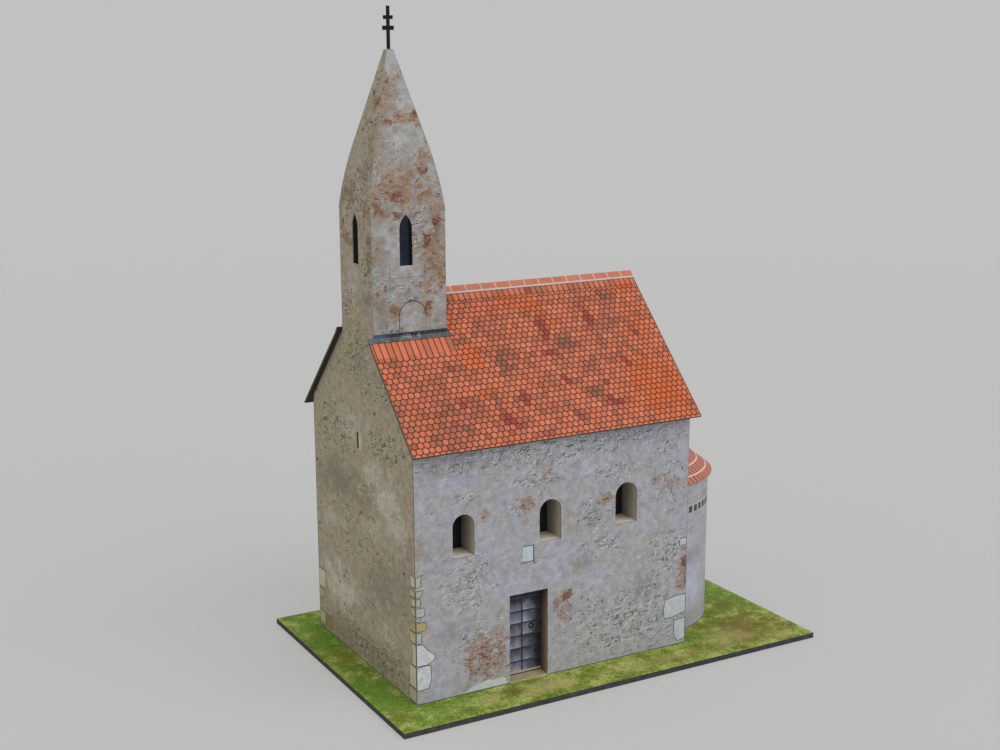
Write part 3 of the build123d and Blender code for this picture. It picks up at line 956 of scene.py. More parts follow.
# Middle from the nave's middle, middle up the slope from the eave, half width, half height, strength
BROWN_TILES = (
    (-29.5, 7.5, 5.5, 6.0, 0.9), (-6.5, 24.8, 4.0, 5.5, 0.9), (11.8, 26.8, 4.0, 2.4, 1.0),
    (14.5, 12.0, 2.6, 2.2, 1.0), (30.5, 40.8, 3.6, 2.4, 1.0), (-23.3, 23.5, 2.4, 1.6, 0.9),
    (7.5, 5.5, 2.0, 1.6, 0.9), (-30.0, 18.0, 6.0, 4.0, 0.6), (-14.0, 14.0, 3.5, 2.0, 0.8),
    (-10.5, 33.5, 3.0, 1.6, 0.9), (-4.0, 36.5, 3.0, 2.0, 0.7), (8.5, 36.5, 2.0, 2.0, 0.8),
    (27.0, 32.0, 3.0, 4.0, 0.8), (33.0, 30.5, 2.0, 2.0, 0.9), (16.5, 20.0, 4.0, 2.0, 0.7),
    (1.0, 16.0, 4.0, 2.5, 0.6), (-20.0, 10.0, 4.0, 3.0, 0.7), (22.0, 26.0, 2.0, 2.5, 0.8),
    (20.0, 38.0, 2.0, 3.0, 0.7), (-36.0, 12.0, 3.0, 5.0, 0.5), (0.5, 8.5, 3.0, 2.0, 0.6),
)
OLIVE_TILES = (
    (-8.2, 22.0, 2.2, 1.8, 0.9), (11.5, 27.5, 2.0, 1.4, 1.0), (-17.0, 31.0, 2.4, 1.4, 0.8),
    (14.2, 11.5, 1.6, 1.4, 0.9), (4.8, 38.0, 1.4, 1.4, 0.8), (29.0, 40.5, 1.6, 2.0, 0.8),
    (-17.0, 21.5, 1.6, 1.2, 0.7), (-9.0, 11.5, 1.2, 1.2, 0.7),
)
ORANGE_TILES = (
    (32.5, 10.0, 8.5, 8.5, 1.0), (-15.5, 26.0, 2.6, 3.5, 1.0), (3.8, 40.5, 5.5, 3.0, 0.8),
    (-19.0, 37.5, 3.0, 4.0, 0.7), (-16.0, 15.5, 2.5, 1.5, 0.8), (36.0, 30.0, 3.0, 8.0, 0.6),
    (9.5, 34.0, 3.0, 2.0, 0.6), (37.0, 42.0, 3.0, 3.0, 0.7), (-8.0, 39.5, 4.0, 2.0, 0.5),
)
DARK_RED_TILES = (
    (7.0, 31.8, 1.7, 3.4, 1.0), (21.6, 34.0, 1.5, 3.2, 1.0), (-12.6, 6.2, 2.7, 2.9, 1.0),
    (18.0, 7.4, 2.6, 1.5, 1.0), (6.5, 24.2, 2.2, 1.1, 1.0), (26.8, 20.5, 1.2, 3.0, 0.9),
    (7.0, 16.0, 0.9, 1.5, 1.0), (-6.4, 12.4, 1.4, 2.8, 0.9), (-22.7, 12.8, 1.3, 1.5, 0.9),
    (34.5, 27.5, 1.4, 0.8, 1.0), (18.0, 13.5, 0.8, 0.8, 0.9), (9.3, 28.0, 1.0, 0.9, 0.9),
    (20.6, 21.5, 0.9, 1.2, 0.8), (-5.0, 1.5, 1.0, 0.8, 0.6),
)


def tile_lattice(card, across, up, shift_across, shift_up):
    """One of the two sets of staggered rows: the way to a tile's middle, and that middle."""
    columns = card.over(card.minus(across, shift_across), TILE_ACROSS)
    rows = card.over(card.minus(up, shift_up), 2 * TILE_UP)
    column = card.math("ROUND", columns)
    row = card.math("ROUND", rows)
    side = card.times(card.size(card.minus(columns, column)), TILE_ACROSS)
    rise = card.times(card.size(card.minus(rows, row)), 2 * TILE_UP)
    middle_across = card.add(card.times(column, TILE_ACROSS), shift_across)
    middle_up = card.add(card.times(row, 2 * TILE_UP), shift_up)
    return side, rise, card.join(middle_across, middle_up)


def tile_courses(card, across, up):
    """Staggered round-tailed tiles: a tile's place, the way in from its outline and from a joint."""

    def pick(share, first, second):
        return card.add(first, card.times(share, card.minus(second, first)))

    def pick_place(share, first, second):
        return card.vector("ADD", first, card.shade(card.vector("SUBTRACT", second, first), share))

    side_a, rise_a, tile_a = tile_lattice(card, across, up, WEST_FACE, 0.0)
    side_b, rise_b, tile_b = tile_lattice(card, across, up, WEST_FACE + TILE_ACROSS / 2, TILE_UP)
    on_b = card.above(card.length(card.join(side_a, rise_a)), card.length(card.join(side_b, rise_b)))
    side = pick(on_b, side_a, side_b)
    rise = pick(on_b, rise_a, rise_b)
    tile = pick_place(on_b, tile_a, tile_b)
    slant = math.hypot(TILE_ACROSS / 2, TILE_UP)
    along_slant = card.add(card.times(side, TILE_ACROSS / 2 / slant), card.times(rise, TILE_UP / slant))
    in_from_side = card.minus(TILE_ACROSS / 2, side)
    in_from_slant = card.minus(slant / 2, along_slant)
    edge = card.math("SMOOTH_MIN", in_from_side, in_from_slant, TILE_ROUNDING)
    edge = card.math("SMOOTH_MIN", edge, card.minus(TILE_TIP, rise), TILE_ROUNDING / 2)

    # Long tiles under the flashing and the ridge, where the rows end
    by_tower = card.times(card.above(LONG_TILE_EAST, across), card.above(up, LONG_TILE_LOW))
    long_tile = card.larger(by_tower, card.above(up, TOP_TILE_LOW))
    edge = pick(long_tile, edge, card.minus(TILE_ACROSS / 2, side_a))
    long_middle = card.join(card.split(tile_a)[0], LONG_TILE_LOW + TILE_UP)
    return pick_place(long_tile, tile, long_middle), edge, side_a


TILE_RAGGED = Grain(2.6, 3.0, swing=4.0)
TILE_CLUSTERS = Grain(3.2)
CLUSTER_LUCK = 0.12
CLUSTER_EDGE = (0.5, 0.68)
CLUSTER_STRENGTH = 0.7
BROWN_FADE = (1.6, 0.3)
BROWN_DRAW = 5.0
BROWN_LEAST = 0.5
BROWN_LUCK = 0.6
OLIVE_STRENGTH = 0.75
ORANGE_WASH = Grain(5.0, 4.0, 0.6, swing=3.5)
ORANGE_FADE = (1.6, 0.2)
ORANGE_STRENGTH = 0.9
DARK_RED_STRENGTH = 0.9
PILLOW_EDGE = (0.1, 0.45)
PILLOW_LIGHT = (0.94, 0.12)
TILE_LINE_EDGE = (0.19, 0.06)
TILE_LINE_STRENGTH = 0.97
ZIGZAG_LINE = (0.14, 0.08)


def tile_colour(card, across, up, seed):
    """Each tile in its own colour, some brown, olive or red, with a dark outline and an orange wash."""
    tile, edge, side = tile_courses(card, across, up)
    seeded = card.moved(tile, seed, 0.0, seed)
    ragged = card.swing(seeded, TILE_RAGGED)
    luck = card.chance(seeded)
    colour = card.blend(luck, TILE_SALMON, TILE_PALE)
    clusters = card.add(card.grain(seeded, TILE_CLUSTERS), card.times(luck, CLUSTER_LUCK))
    clusters = card.times(card.step(clusters, CLUSTER_EDGE), CLUSTER_STRENGTH)
    brown = card.larger(clusters, card.spots(tile, ragged, BROWN_TILES, BROWN_FADE))
    brown_luck = card.times(card.chance(card.moved(seeded, BROWN_DRAW)), BROWN_LUCK)
    colour = card.blend(card.times(brown, card.add(BROWN_LEAST, brown_luck)), colour, TILE_BROWN)
    colour = card.printed(colour, card.spots(tile, ragged, OLIVE_TILES), TILE_OLIVE, OLIVE_STRENGTH)
    spot = card.join(across, up)
    wash = card.swing(card.moved(spot, seed), ORANGE_WASH)
    orange = card.spots(spot, wash, ORANGE_TILES, ORANGE_FADE)
    colour = card.printed(colour, orange, TILE_ORANGE, ORANGE_STRENGTH)
    dark_red = card.spots(tile, ragged, DARK_RED_TILES)
    colour = card.printed(colour, dark_red, TILE_DARK_RED, DARK_RED_STRENGTH)
    colour = card.uneven(colour, card.step(edge, PILLOW_EDGE), PILLOW_LIGHT)
    zigzag = card.add(card.minus(side, TILE_ACROSS / 4), TOP_TILE_LOW)
    line = card.larger(card.step(edge, TILE_LINE_EDGE), card.band(up, zigzag, *ZIGZAG_LINE))
    return card.printed(colour, line, TILE_LINE, TILE_LINE_STRENGTH)


VERGE_REACH = box_mm("roof_south")[1].x
VERGE_EDGE = tone(92, 82, 78)
VERGE_LINE = tone(66, 50, 46)
VERGE_LINE_EDGE = (0.34, 0.22)
VERGE_LINE_STRENGTH = 0.85
EAVE_EDGE = tone(50, 43, 41)
ROOF_UNDER = tone(58, 48, 42)
SIDE_FACING = 0.5
SLOPE_FACING = 1.2


def roof_print(name, eave_y, direction, seed):
    """The tiled side of a roof sheet, its grey cut edges and its dark underside."""
    card = CardPrint(name, **TILE_GLOSS)
    x, y, _ = card.split(card.from_nave())
    up = card.times(card.minus(y, eave_y), direction / math.cos(PITCH))
    tiles = tile_colour(card, x, up, seed)
    verge = card.step(card.minus(VERGE_REACH, card.size(x)), VERGE_LINE_EDGE)
    tiles = card.printed(tiles, verge, VERGE_LINE, VERGE_LINE_STRENGTH)
    facing_x, facing_y, facing_z = card.facing()
    outward = card.add(facing_z, card.times(facing_y, -direction))
    colour = card.blend(card.above(card.size(facing_x), SIDE_FACING), EAVE_EDGE, VERGE_EDGE)
    colour = card.blend(card.above(-SLOPE_FACING, outward), colour, ROOF_UNDER)
    return card.finish(card.blend(card.above(outward, SLOPE_FACING), colour, tiles))


# Ridge

RIDGE_TILE = 4.33
RIDGE_SALMON = tone(184, 111, 88)
RIDGE_CLOUDS = Grain(2.5, 3.0)
RIDGE_LEAST = 0.8
RIDGE_LUCK = 0.14
RIDGE_CLOUD_LIGHT = 0.26
RIDGE_DRAW = 2.0
RIDGE_JOINT = tone(208, 178, 164)
RIDGE_JOINT_HALF = (0.035, 0.02)
RIDGE_JOINT_STRENGTH = 0.8
RIDGE_EDGE = tone(186, 180, 178)
RIDGE_EDGE_WIDTH = 0.5
RIDGE_EDGE_LOW = 0.2
RIDGE_EDGE_SOFT = 0.06
# The painted shadow line along the cap's foot
RIDGE_SHADE = tone(86, 62, 58)
RIDGE_SHADE_HIGH = 0.14
RIDGE_SHADE_SOFT = 0.04


def ridge_print():
    """A row of plain ridge tiles with pale joints, a pale lower edge and a painted shadow line at the foot.
    """
    card = CardPrint("ridge_tile_print", **TILE_GLOSS)
    place = card.from_nave()
    x, _, z = card.split(place)
    tiles = card.over(card.minus(EAST_FACE, x), RIDGE_TILE)
    luck = card.times(card.chance(card.join(card.whole(tiles), RIDGE_DRAW)), RIDGE_LUCK)
    clouds = card.times(card.grain(place, RIDGE_CLOUDS), RIDGE_CLOUD_LIGHT)
    colour = card.shade(RIDGE_SALMON, card.add(RIDGE_LEAST, luck, clouds))
    colour = card.printed(colour, card.each(tiles, *RIDGE_JOINT_HALF), RIDGE_JOINT, RIDGE_JOINT_STRENGTH)
    foot = box_mm("ridge_cap")[0].z
    edge_top = foot + RIDGE_EDGE_WIDTH * math.sin(PITCH) + RIDGE_EDGE_LOW
    colour = card.blend(card.below(z, edge_top, RIDGE_EDGE_SOFT), colour, RIDGE_EDGE)
    # Painted shadow: a dark line along the cap's foot
    shade = card.below(z, foot + RIDGE_SHADE_HIGH, RIDGE_SHADE_SOFT)
    return card.finish(card.blend(shade, colour, RIDGE_SHADE))


# Apse roof

APSE_STRIPS = 43
APSE_RED = tone(180, 94, 76)
APSE_BROWN = tone(148, 88, 70)
APSE_CREAM = tone(216, 168, 150)
APSE_CREAM_EDGE = (0.35, 0.43)
APSE_CREAM_STRENGTH = 0.85
# Way from a strip's middle, half of the width, and how soft the edge is
APSE_HOLLOW = (0.3, 0.06, 0.05)
APSE_HOLLOW_SHADE = 0.3
APSE_RING = tone(224, 206, 180)
APSE_RING_FIRST = 0.085
APSE_RING_STEP = 0.1
APSE_RING_HALF = (0.06, 0.03)
APSE_RING_STRENGTH = 0.9
APSE_EDGE = tone(146, 108, 94)
APSE_EDGE_FACING = 0.1
APSE_DRAW = 5.0


def apse_roof_print():
    """Rows of hollow tiles that run up to the gable, with pale mortar rings."""
    card = CardPrint("apse_tile_print", **TILE_GLOSS)
    x, y, z = card.split(card.from_nave())
    turn = card.math("ARCTAN2", y, card.minus(x, EAST_FACE))
    strips = card.times(turn, APSE_STRIPS / math.pi)
    from_strip = card.from_middle(strips)
    low, high = box_mm("apse_roof")
    rise = card.over(card.minus(z, low.z), high.z - low.z)
    courses = card.over(card.minus(rise, APSE_RING_FIRST), APSE_RING_STEP)
    luck = card.chance(card.join(card.whole(strips), card.whole(courses), APSE_DRAW))
    colour = card.blend(luck, APSE_RED, APSE_BROWN)
    colour = card.darker(colour, card.band(from_strip, *APSE_HOLLOW), APSE_HOLLOW_SHADE)
    colour = card.printed(colour, card.step(from_strip, APSE_CREAM_EDGE), APSE_CREAM, APSE_CREAM_STRENGTH)
    rings = card.each(card.add(courses, 0.5), *APSE_RING_HALF)
    colour = card.printed(colour, rings, APSE_RING, APSE_RING_STRENGTH)
    on_edge = card.above(APSE_EDGE_FACING, card.facing()[2])
    return card.finish(card.blend(on_edge, colour, APSE_EDGE))


# Plain prints and grass

INK_DETAIL = 4.0
INK_ROUGHNESS = 0.65
INK_STOPS = (0.34, 0.66)


def mottled(name, dark, light, size, roughness=0.8, specular=0.2):
    """Card printed in one colour, with the unevenness of ink on paper."""
    card = CardPrint(name, roughness, specular)
    place = card.from_nave()
    card.paper(place)
    clouds = card.grain(place, Grain(size, INK_DETAIL, INK_ROUGHNESS))
    return card.finish(card.graded(clouds, INK_STOPS, (dark, light)))


BOARD_BLACK = tone(58, 55, 57)
GRASS_TONES = (
    (0.18, tone(74, 96, 28)),
    (0.4, tone(104, 126, 42)),
    (0.5, tone(136, 150, 66)),
    (0.6, tone(166, 172, 96)),
    (0.84, tone(194, 194, 134)),
)
GRASS_GREEN = tone(86, 126, 34)
GRASS_EARTH = tone(114, 98, 44)
GRASS_TAN = tone(180, 164, 110)
GRASS_SPECK = tone(216, 220, 168)
GRASS_WIDE = Grain(5.5)
GRASS_WIDE_SHARE = 0.7
GRASS_TUFTS = Grain(0.8, 5.0, 0.72, shift=(5.0, 9.0, 2.0))
GRASS_MIDDLE = 0.35
GRASS_SOFT_EDGE = Grain(4.5, 5.0, 0.65, shift=(12.0, 40.0), swing=4.5)
GRASS_FADE = (1.6, 0.2)
GRASS_BLADES = Grain(0.5, 3.0, 0.6, shift=(31.0, 3.0, 8.0))
BLADE_LIGHT = (0.1, 1.78)
GRASS_SPECKS = Grain(0.8, shift=(2.0, 63.0, 4.0))
SPECK_EDGE = (0.7, 0.78)
SPECK_STRENGTH = 0.6
TOP_FACING = 0.5
# Middle east, middle north, half width, half depth, strength
GREEN_PATCHES = (
    (-44.0, 20.0, 6.0, 22.0, 1.0), (-45.0, -22.0, 7.0, 20.0, 1.0), (-36.0, -35.0, 11.0, 4.5, 0.75),
    (34.0, -33.0, 6.0, 1.8, 0.6), (55.0, -24.0, 5.0, 4.0, 0.7), (-20.0, 36.0, 9.0, 3.0, 0.8),
    (45.0, 32.0, 6.0, 5.0, 0.7), (66.0, -8.0, 8.0, 14.0, 0.9), (48.0, -30.0, 6.0, 4.0, 0.6),
)
EARTH_PATCHES = (
    (60.0, -30.0, 11.0, 10.0, 1.0), (43.0, -37.2, 7.0, 2.6, 0.9), (-15.5, -35.2, 4.0, 1.8, 0.9),
    (-46.0, -34.0, 3.0, 4.0, 0.6), (30.0, -38.5, 6.0, 1.6, 0.6), (-43.5, 6.0, 2.5, 8.0, 0.5),
    (66.0, -14.0, 5.0, 6.0, 0.6), (20.0, 36.0, 8.0, 2.5, 0.7), (64.0, 22.0, 5.0, 7.0, 0.7),
)
TAN_PATCHES = (
    (-4.5, -36.4, 6.5, 2.8, 1.0), (-22.5, -37.5, 2.0, 3.0, 0.7), (-11.0, -38.0, 4.0, 1.6, 0.7),
    (52.0, -32.0, 5.0, 3.5, 0.8), (57.0, -35.5, 5.0, 1.5, 0.6), (68.0, -38.6, 4.0, 2.0, 0.8),
    (48.0, -37.5, 4.0, 2.0, 0.4), (22.0, -37.0, 13.0, 2.8, 0.45),
)
# Places, their ink and how strong it is
GRASS_WASHES = (
    (GREEN_PATCHES, GRASS_GREEN, 0.8),
    (EARTH_PATCHES, GRASS_EARTH, 0.8),
    (TAN_PATCHES, GRASS_TAN, 0.7),
)


def grass_print():
    """Tufted grass in yellow greens, with earth and trodden places; its cut edge is dark."""
    card = CardPrint("grass_print")
    x, y, _ = card.split(card.from_nave())
    spot = card.join(x, y)
    card.paper(spot)
    wide = card.times(card.grain(spot, GRASS_WIDE), GRASS_WIDE_SHARE)
    value = card.add(wide, card.grain(spot, GRASS_TUFTS))
    colour = card.ramp(card.minus(value, GRASS_MIDDLE), GRASS_TONES)
    soft = card.swing(spot, GRASS_SOFT_EDGE)
    for places, ink, strength in GRASS_WASHES:
        colour = card.printed(colour, card.spots(spot, soft, places, GRASS_FADE), ink, strength)
    colour = card.uneven(colour, card.grain(spot, GRASS_BLADES), BLADE_LIGHT)
    specks = card.step(card.grain(spot, GRASS_SPECKS), SPECK_EDGE)
    colour = card.printed(colour, specks, GRASS_SPECK, SPECK_STRENGTH)
    return card.finish(card.blend(card.above(card.facing()[2], TOP_FACING), BOARD_BLACK, colour))


# Recesses and the door

REVEAL_INK = tone(70, 58, 42)
REVEAL_LINE_EDGE = (0.5, 0.4)
REVEAL_LINE_STRENGTH = 0.75
REVEAL_SHIFT = 13.0
REVEAL_STAINS = Grain(1.4, 4.0, 0.65, stretch=(1.0, 1.0, 2.0))
JAMB_STOPS = (0.06, 0.4, 0.95)
JAMB_LIGHT = (0.74, 0.52)
# Jamb tones from the wall's face to the back of the recess: darker inward, partly as printed and partly as
# painted shade
WINDOW_JAMB = (tone(172, 163, 146), tone(158, 151, 139), tone(134, 128, 118))
DOOR_JAMB = (tone(166, 144, 120), tone(126, 108, 91), tone(78, 66, 57))
HEAD_SHADE_REACH = 9.0
DOOR_HEAD_SHADE = 0.5
SILL_STOPS = (0.1, 0.95)
SILL_LIGHT = (0.8, 0.4)
# Sill tones from the front to the back: darker towards the back, partly as printed and partly as painted
# shade
SILL_TONES = (tone(226, 219, 205), tone(196, 185, 166))
SILL_FACING = 0.7


def reveal_print(node, outer_face, inward, tones, head_shade=0.0):
    """The bent strip of a recess: pale at the wall, darker inside (partly as printed, partly as painted
    shade) and towards its head in painted shade, with a pale sill.
    """
    card = CardPrint(f"{node}_print")
    x, y, z = card.split(card.from_nave())
    spot = card.join(x, card.add(y, REVEAL_SHIFT), z)
    card.paper(spot)
    low, high = box_mm(node)
    depth = max(abs(low.y - outer_face), abs(high.y - outer_face))
    deep = card.times(card.minus(y, outer_face), inward)
    share = card.over(deep, depth)
    stains = card.grain(spot, REVEAL_STAINS)
    # Painted shade, partly printed: the jamb darkens with depth into the recess, and towards the head by the
    # head shade
    jamb = card.uneven(card.graded(share, JAMB_STOPS, tones), stains, JAMB_LIGHT)
    jamb = card.darker(jamb, card.step(z, (high.z - HEAD_SHADE_REACH, high.z)), head_shade)
    # The sill darkens towards the back of the recess the same way
    sill = card.uneven(card.graded(share, SILL_STOPS, SILL_TONES), stains, SILL_LIGHT)
    colour = card.blend(card.above(card.facing()[2], SILL_FACING), jamb, sill)
    line = card.step(deep, REVEAL_LINE_EDGE)
    return card.finish(card.printed(colour, line, REVEAL_INK, REVEAL_LINE_STRENGTH))


DOOR_LOW, DOOR_HIGH = box_mm("door_leaf")
DOOR_MIDDLE = (DOOR_LOW.x + DOOR_HIGH.x) / 2
DOOR_BARS = (3.7, 7.2, 10.6, 13.9, 17.1)
DOOR_BAR_STEP = 3.35
DOOR_TONES = (tone(60, 60, 69), tone(106, 109, 125), tone(148, 152, 174))
DOOR_STOPS = (0.1, 0.5, 0.9)
DOOR_BOARDS = Grain(1.3, 4.0, 0.65, stretch=(0.9, 1.6), swing=0.9)
DOOR_PANEL_LIGHT = 0.78
DOOR_PANEL_FALL = 0.6
DOOR_PANEL_LUCK = 0.4
DOOR_PANEL_DRAW = 4.0
DOOR_SHADE = tone(32, 29, 30)
DOOR_SHADE_WANDER = Grain(3.0, 4.0, shift=(4.0,), swing=6.0)
DOOR_EAST_SHADE = (DOOR_MIDDLE + 0.6, DOOR_HIGH.x - 1.2)
DOOR_HEAD_BAR = 20.4
DOOR_TOP_SHADE = (DOOR_HEAD_BAR - 2.0, DOOR_HEAD_BAR + 1.0)
DOOR_SHADE_STRENGTH = 0.9
DOOR_FOOT_TONE = tone(168, 154, 142)
DOOR_FOOT_PALE = 1.15
DOOR_FOOT_PALE_SOFT = 0.08
# Height and softness of the painted shade line along the door's foot
DOOR_FOOT_DARK = 0.55
DOOR_FOOT_DARK_SOFT = 0.06


def door_print():
    """Weathered boards, paler at the foot of each panel and in painted shade at the head and the east side,
    with a painted shade line along the very foot.
    """
    card = CardPrint("door_print", roughness=0.75)
    x, _, z = card.split(card.from_nave())
    spot = card.join(x, z)
    card.paper(spot)
    panels = card.over(card.minus(z, DOOR_BARS[0]), DOOR_BAR_STEP)
    fall = card.times(card.math("FRACT", panels), DOOR_PANEL_FALL)
    luck = card.chance(card.join(card.whole(panels), card.above(x, DOOR_MIDDLE), DOOR_PANEL_DRAW))
    luck = card.times(card.minus(luck, 0.5), DOOR_PANEL_LUCK)
    value = card.add(card.minus(DOOR_PANEL_LIGHT, fall), card.swing(spot, DOOR_BOARDS), luck)
    colour = card.graded(value, DOOR_STOPS, DOOR_TONES)
    east_shade = card.step(card.add(x, card.swing(spot, DOOR_SHADE_WANDER)), DOOR_EAST_SHADE)
    shade = card.larger(east_shade, card.step(z, DOOR_TOP_SHADE))
    colour = card.printed(colour, shade, DOOR_SHADE, DOOR_SHADE_STRENGTH)
    colour = card.blend(card.below(z, DOOR_FOOT_PALE, DOOR_FOOT_PALE_SOFT), colour, DOOR_FOOT_TONE)
    # Painted shade: a dark line along the door's foot
    return card.finish(card.blend(card.below(z, DOOR_FOOT_DARK, DOOR_FOOT_DARK_SOFT), colour, DOOR_SHADE))


# Flashing and lancets

METAL_CLOUDS = Grain(1.6, 4.0, 0.65)
METAL_STOPS = (0.36, 0.66)
APRON_TONES = (tone(62, 68, 66), tone(104, 110, 106))
APRON_FACING = 0.4
UPSTAND_TONES = (tone(24, 27, 34), tone(48, 54, 64))
UPSTAND_BLUE = tone(54, 92, 138)
BLUE_END = (TOWER_LOW.x + 5.0, TOWER_LOW.x + 1.5)
BLUE_WANDER = 5.0
BLUE_STRENGTH = 0.7
# Painted glints: pale highlights on the apron
GLINT = tone(164, 170, 174)
GLINT_EDGE = Grain(0.7, 4.0, 0.65, swing=6.0)
GLINT_STRENGTH = 0.7
# Middle east, middle height, half width, half height, strength
GLINTS = (
    (-31.5, 85.6, 3.0, 0.4, 0.5), (-38.0, 85.4, 1.6, 0.3, 0.4), (-27.8, 87.2, 0.4, 0.5, 0.5),
    (-31.0, 87.3, 1.2, 0.4, 0.4),
)


def flashing_print():
    """Sheet metal as printed: a dark upstand with a blue end, a grey apron with painted glints."""
    card = CardPrint("flashing_print", roughness=0.6, specular=0.35)
    place = card.from_nave()
    x, _, z = card.split(place)
    clouds = card.grain(place, METAL_CLOUDS)
    upstand = card.graded(clouds, METAL_STOPS, UPSTAND_TONES)
    wander = card.times(card.minus(clouds, 0.5), BLUE_WANDER)
    blue = card.step(card.add(x, wander), BLUE_END)
    upstand = card.printed(upstand, blue, UPSTAND_BLUE, BLUE_STRENGTH)
    apron = card.graded(clouds, METAL_STOPS, APRON_TONES)
    colour = card.blend(card.above(card.facing()[2], APRON_FACING), upstand, apron)
    spot = card.join(x, z)
    # Painted glints on the apron
    glints = card.spots(spot, card.swing(spot, GLINT_EDGE), GLINTS)
    return card.finish(card.printed(colour, glints, GLINT, GLINT_STRENGTH))


LANCET_NAVY = (tone(26, 30, 42), tone(38, 42, 55))
LANCET_STOPS = (0.35, 0.65)
LANCET_CLOUDS = Grain(1.5, 3.0)
LANCET_BLACK = tone(10, 10, 12)
LANCET_SHADE_EDGE = (0.5, 1.1)
WEST_LANCET_SHADE = 0.9


def lancet_print(side):
    """Dark blue behind a lancet, black towards the side that lies in its shade."""
    card = CardPrint(f"lancet_{side}_print", roughness=0.9, specular=0.1)
    place = card.from_nave()
    x, y, _ = card.split(place)
    low, high = box_mm(f"lancet_back_{side}")
    middle = (low + high) / 2
    along = card.minus(x, middle.x) if side in ("south", "north") else card.minus(y, middle.y)
    shade = WEST_LANCET_SHADE if side == "west" else card.step(along, LANCET_SHADE_EDGE)
    navy = card.graded(card.grain(place, LANCET_CLOUDS), LANCET_STOPS, LANCET_NAVY)
    return card.finish(card.blend(shade, navy, LANCET_BLACK))


# Prints on the CAD pieces

WINDOW_PLACES = ("west", "middle", "east")
TOWER_SIDES = ("south", "north", "west", "east")
# Where each long wall's outer face is, which way is inwards, and where its tiles' colours start
LONG_SIDES = {"south": (SOUTH_FACE, 1.0, 0.0), "north": (NORTH_FACE, -1.0, 37.0)}
SOUTH_EAVE = box_mm("roof_south")[0].y


def give(material, *nodes):
    """Puts a material on CAD pieces."""
    for node in nodes:
        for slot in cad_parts[node].material_slots:
            slot.material = material


give(nave_wall_print("south_plaster_print", SOUTH_PRINT, EASTWARD, EAST_FACE), "south_wall")
give(nave_wall_print("north_plaster_print", NORTH_PRINT, EASTWARD, EAST_FACE), "north_wall")
give(nave_wall_print("east_plaster_print", EAST_PRINT, NORTHWARD, GABLE_HALF), "east_wall")
give(west_wall_print(), "west_wall")
give(apse_wall_print(), "apse_wall")
give(tower_side_print("tower_south_print", TOWER_SOUTH_PRINT, EASTWARD), "tower_south", "spire_cap")
give(tower_side_print("tower_north_print", TOWER_NORTH_PRINT, EASTWARD), "tower_north")
give(tower_side_print("tower_east_print", TOWER_EAST_PRINT, NORTHWARD, TOWER_MIDDLE), "tower_east")
give(tower_west_print(), "tower_west")
give(ridge_print(), "ridge_cap")
give(apse_roof_print(), "apse_roof")
give(flashing_print(), "flashing_south", "flashing_north", "flashing_east")
window_print = mottled("window_print", tone(20, 20, 25), tone(36, 36, 42), size=1.5, roughness=0.6)
for side, (outer_face, inward, tile_seed) in LONG_SIDES.items():
    give(roof_print(f"{side}_tile_print", SOUTH_EAVE * inward, inward, tile_seed), f"roof_{side}")
    for window_place in WINDOW_PLACES:
        reveal = f"{side}_window_reveal_{window_place}"
        give(reveal_print(reveal, outer_face, inward, WINDOW_JAMB), reveal)
        give(window_print, f"{side}_window_back_{window_place}")
for side in TOWER_SIDES:
    give(lancet_print(side), f"lancet_back_{side}")
give(reveal_print("door_reveal", SOUTH_FACE, 1.0, DOOR_JAMB, DOOR_HEAD_SHADE), "door_reveal")
give(door_print(), "door_leaf")
give(mottled("threshold_print", tone(156, 144, 116), tone(182, 168, 138), size=1.2), "door_threshold")
give(grass_print(), "grass_sheet")
give(mottled("base_black", tone(48, 46, 48), tone(68, 65, 68), size=1.5, roughness=0.7), "base_board")
cross_black = mottled("cross_black", tone(10, 10, 11), tone(22, 22, 24), size=0.8,
                      roughness=0.6, specular=0.15)
give(cross_black, "cross")


# Printed stones: thin plates on the walls

PLATE_THICKNESS = 0.04
INK_WIDTH = 0.17
STONE_ROUNDING = 0.35
ROUNDING_SEGMENTS = 3
STONE_CLOUDS = Grain(1.6, 5.0, 0.65)
STONE_STOPS = (0.3, 0.7)
STONE_SPECKLE = Grain(0.6, 4.0, 0.7, shift=(4.0,))
SPECKLE_LIGHT = (0.8, 0.4)
STONE_PITS = Grain(0.5, 3.0, shift=(9.0,))
STONE_PIT_EDGE = (0.62, 0.7)
STONE_PIT_INK = tone(74, 76, 70)
STONE_PIT_STRENGTH = 0.3
# Dark tone, light tone, and where the pattern starts
STONE_KINDS = {
    "pale": (tone(164, 167, 172), tone(200, 203, 208), 3.0),
    "grey": (tone(150, 152, 148), tone(170, 172, 168), 8.0),
    "green": (tone(146, 150, 136), tone(164, 167, 152), 17.0),
    "beige": (tone(158, 152, 136), tone(176, 170, 152), 26.0),
    "ochre": (tone(148, 136, 96), tone(170, 157, 112), 35.0),
    "olive": (tone(150, 145, 120), tone(172, 166, 140), 44.0),
    "brown": (tone(128, 112, 74), tone(148, 128, 84), 62.0),
    "drab": (tone(168, 161, 139), tone(190, 183, 160), 71.0),
    "limed": (tone(172, 177, 178), tone(188, 193, 194), 80.0),
    "white": (tone(162, 168, 174), tone(182, 189, 197), 53.0),
    "plaque": (tone(162, 172, 182), tone(182, 192, 204), 89.0),
}


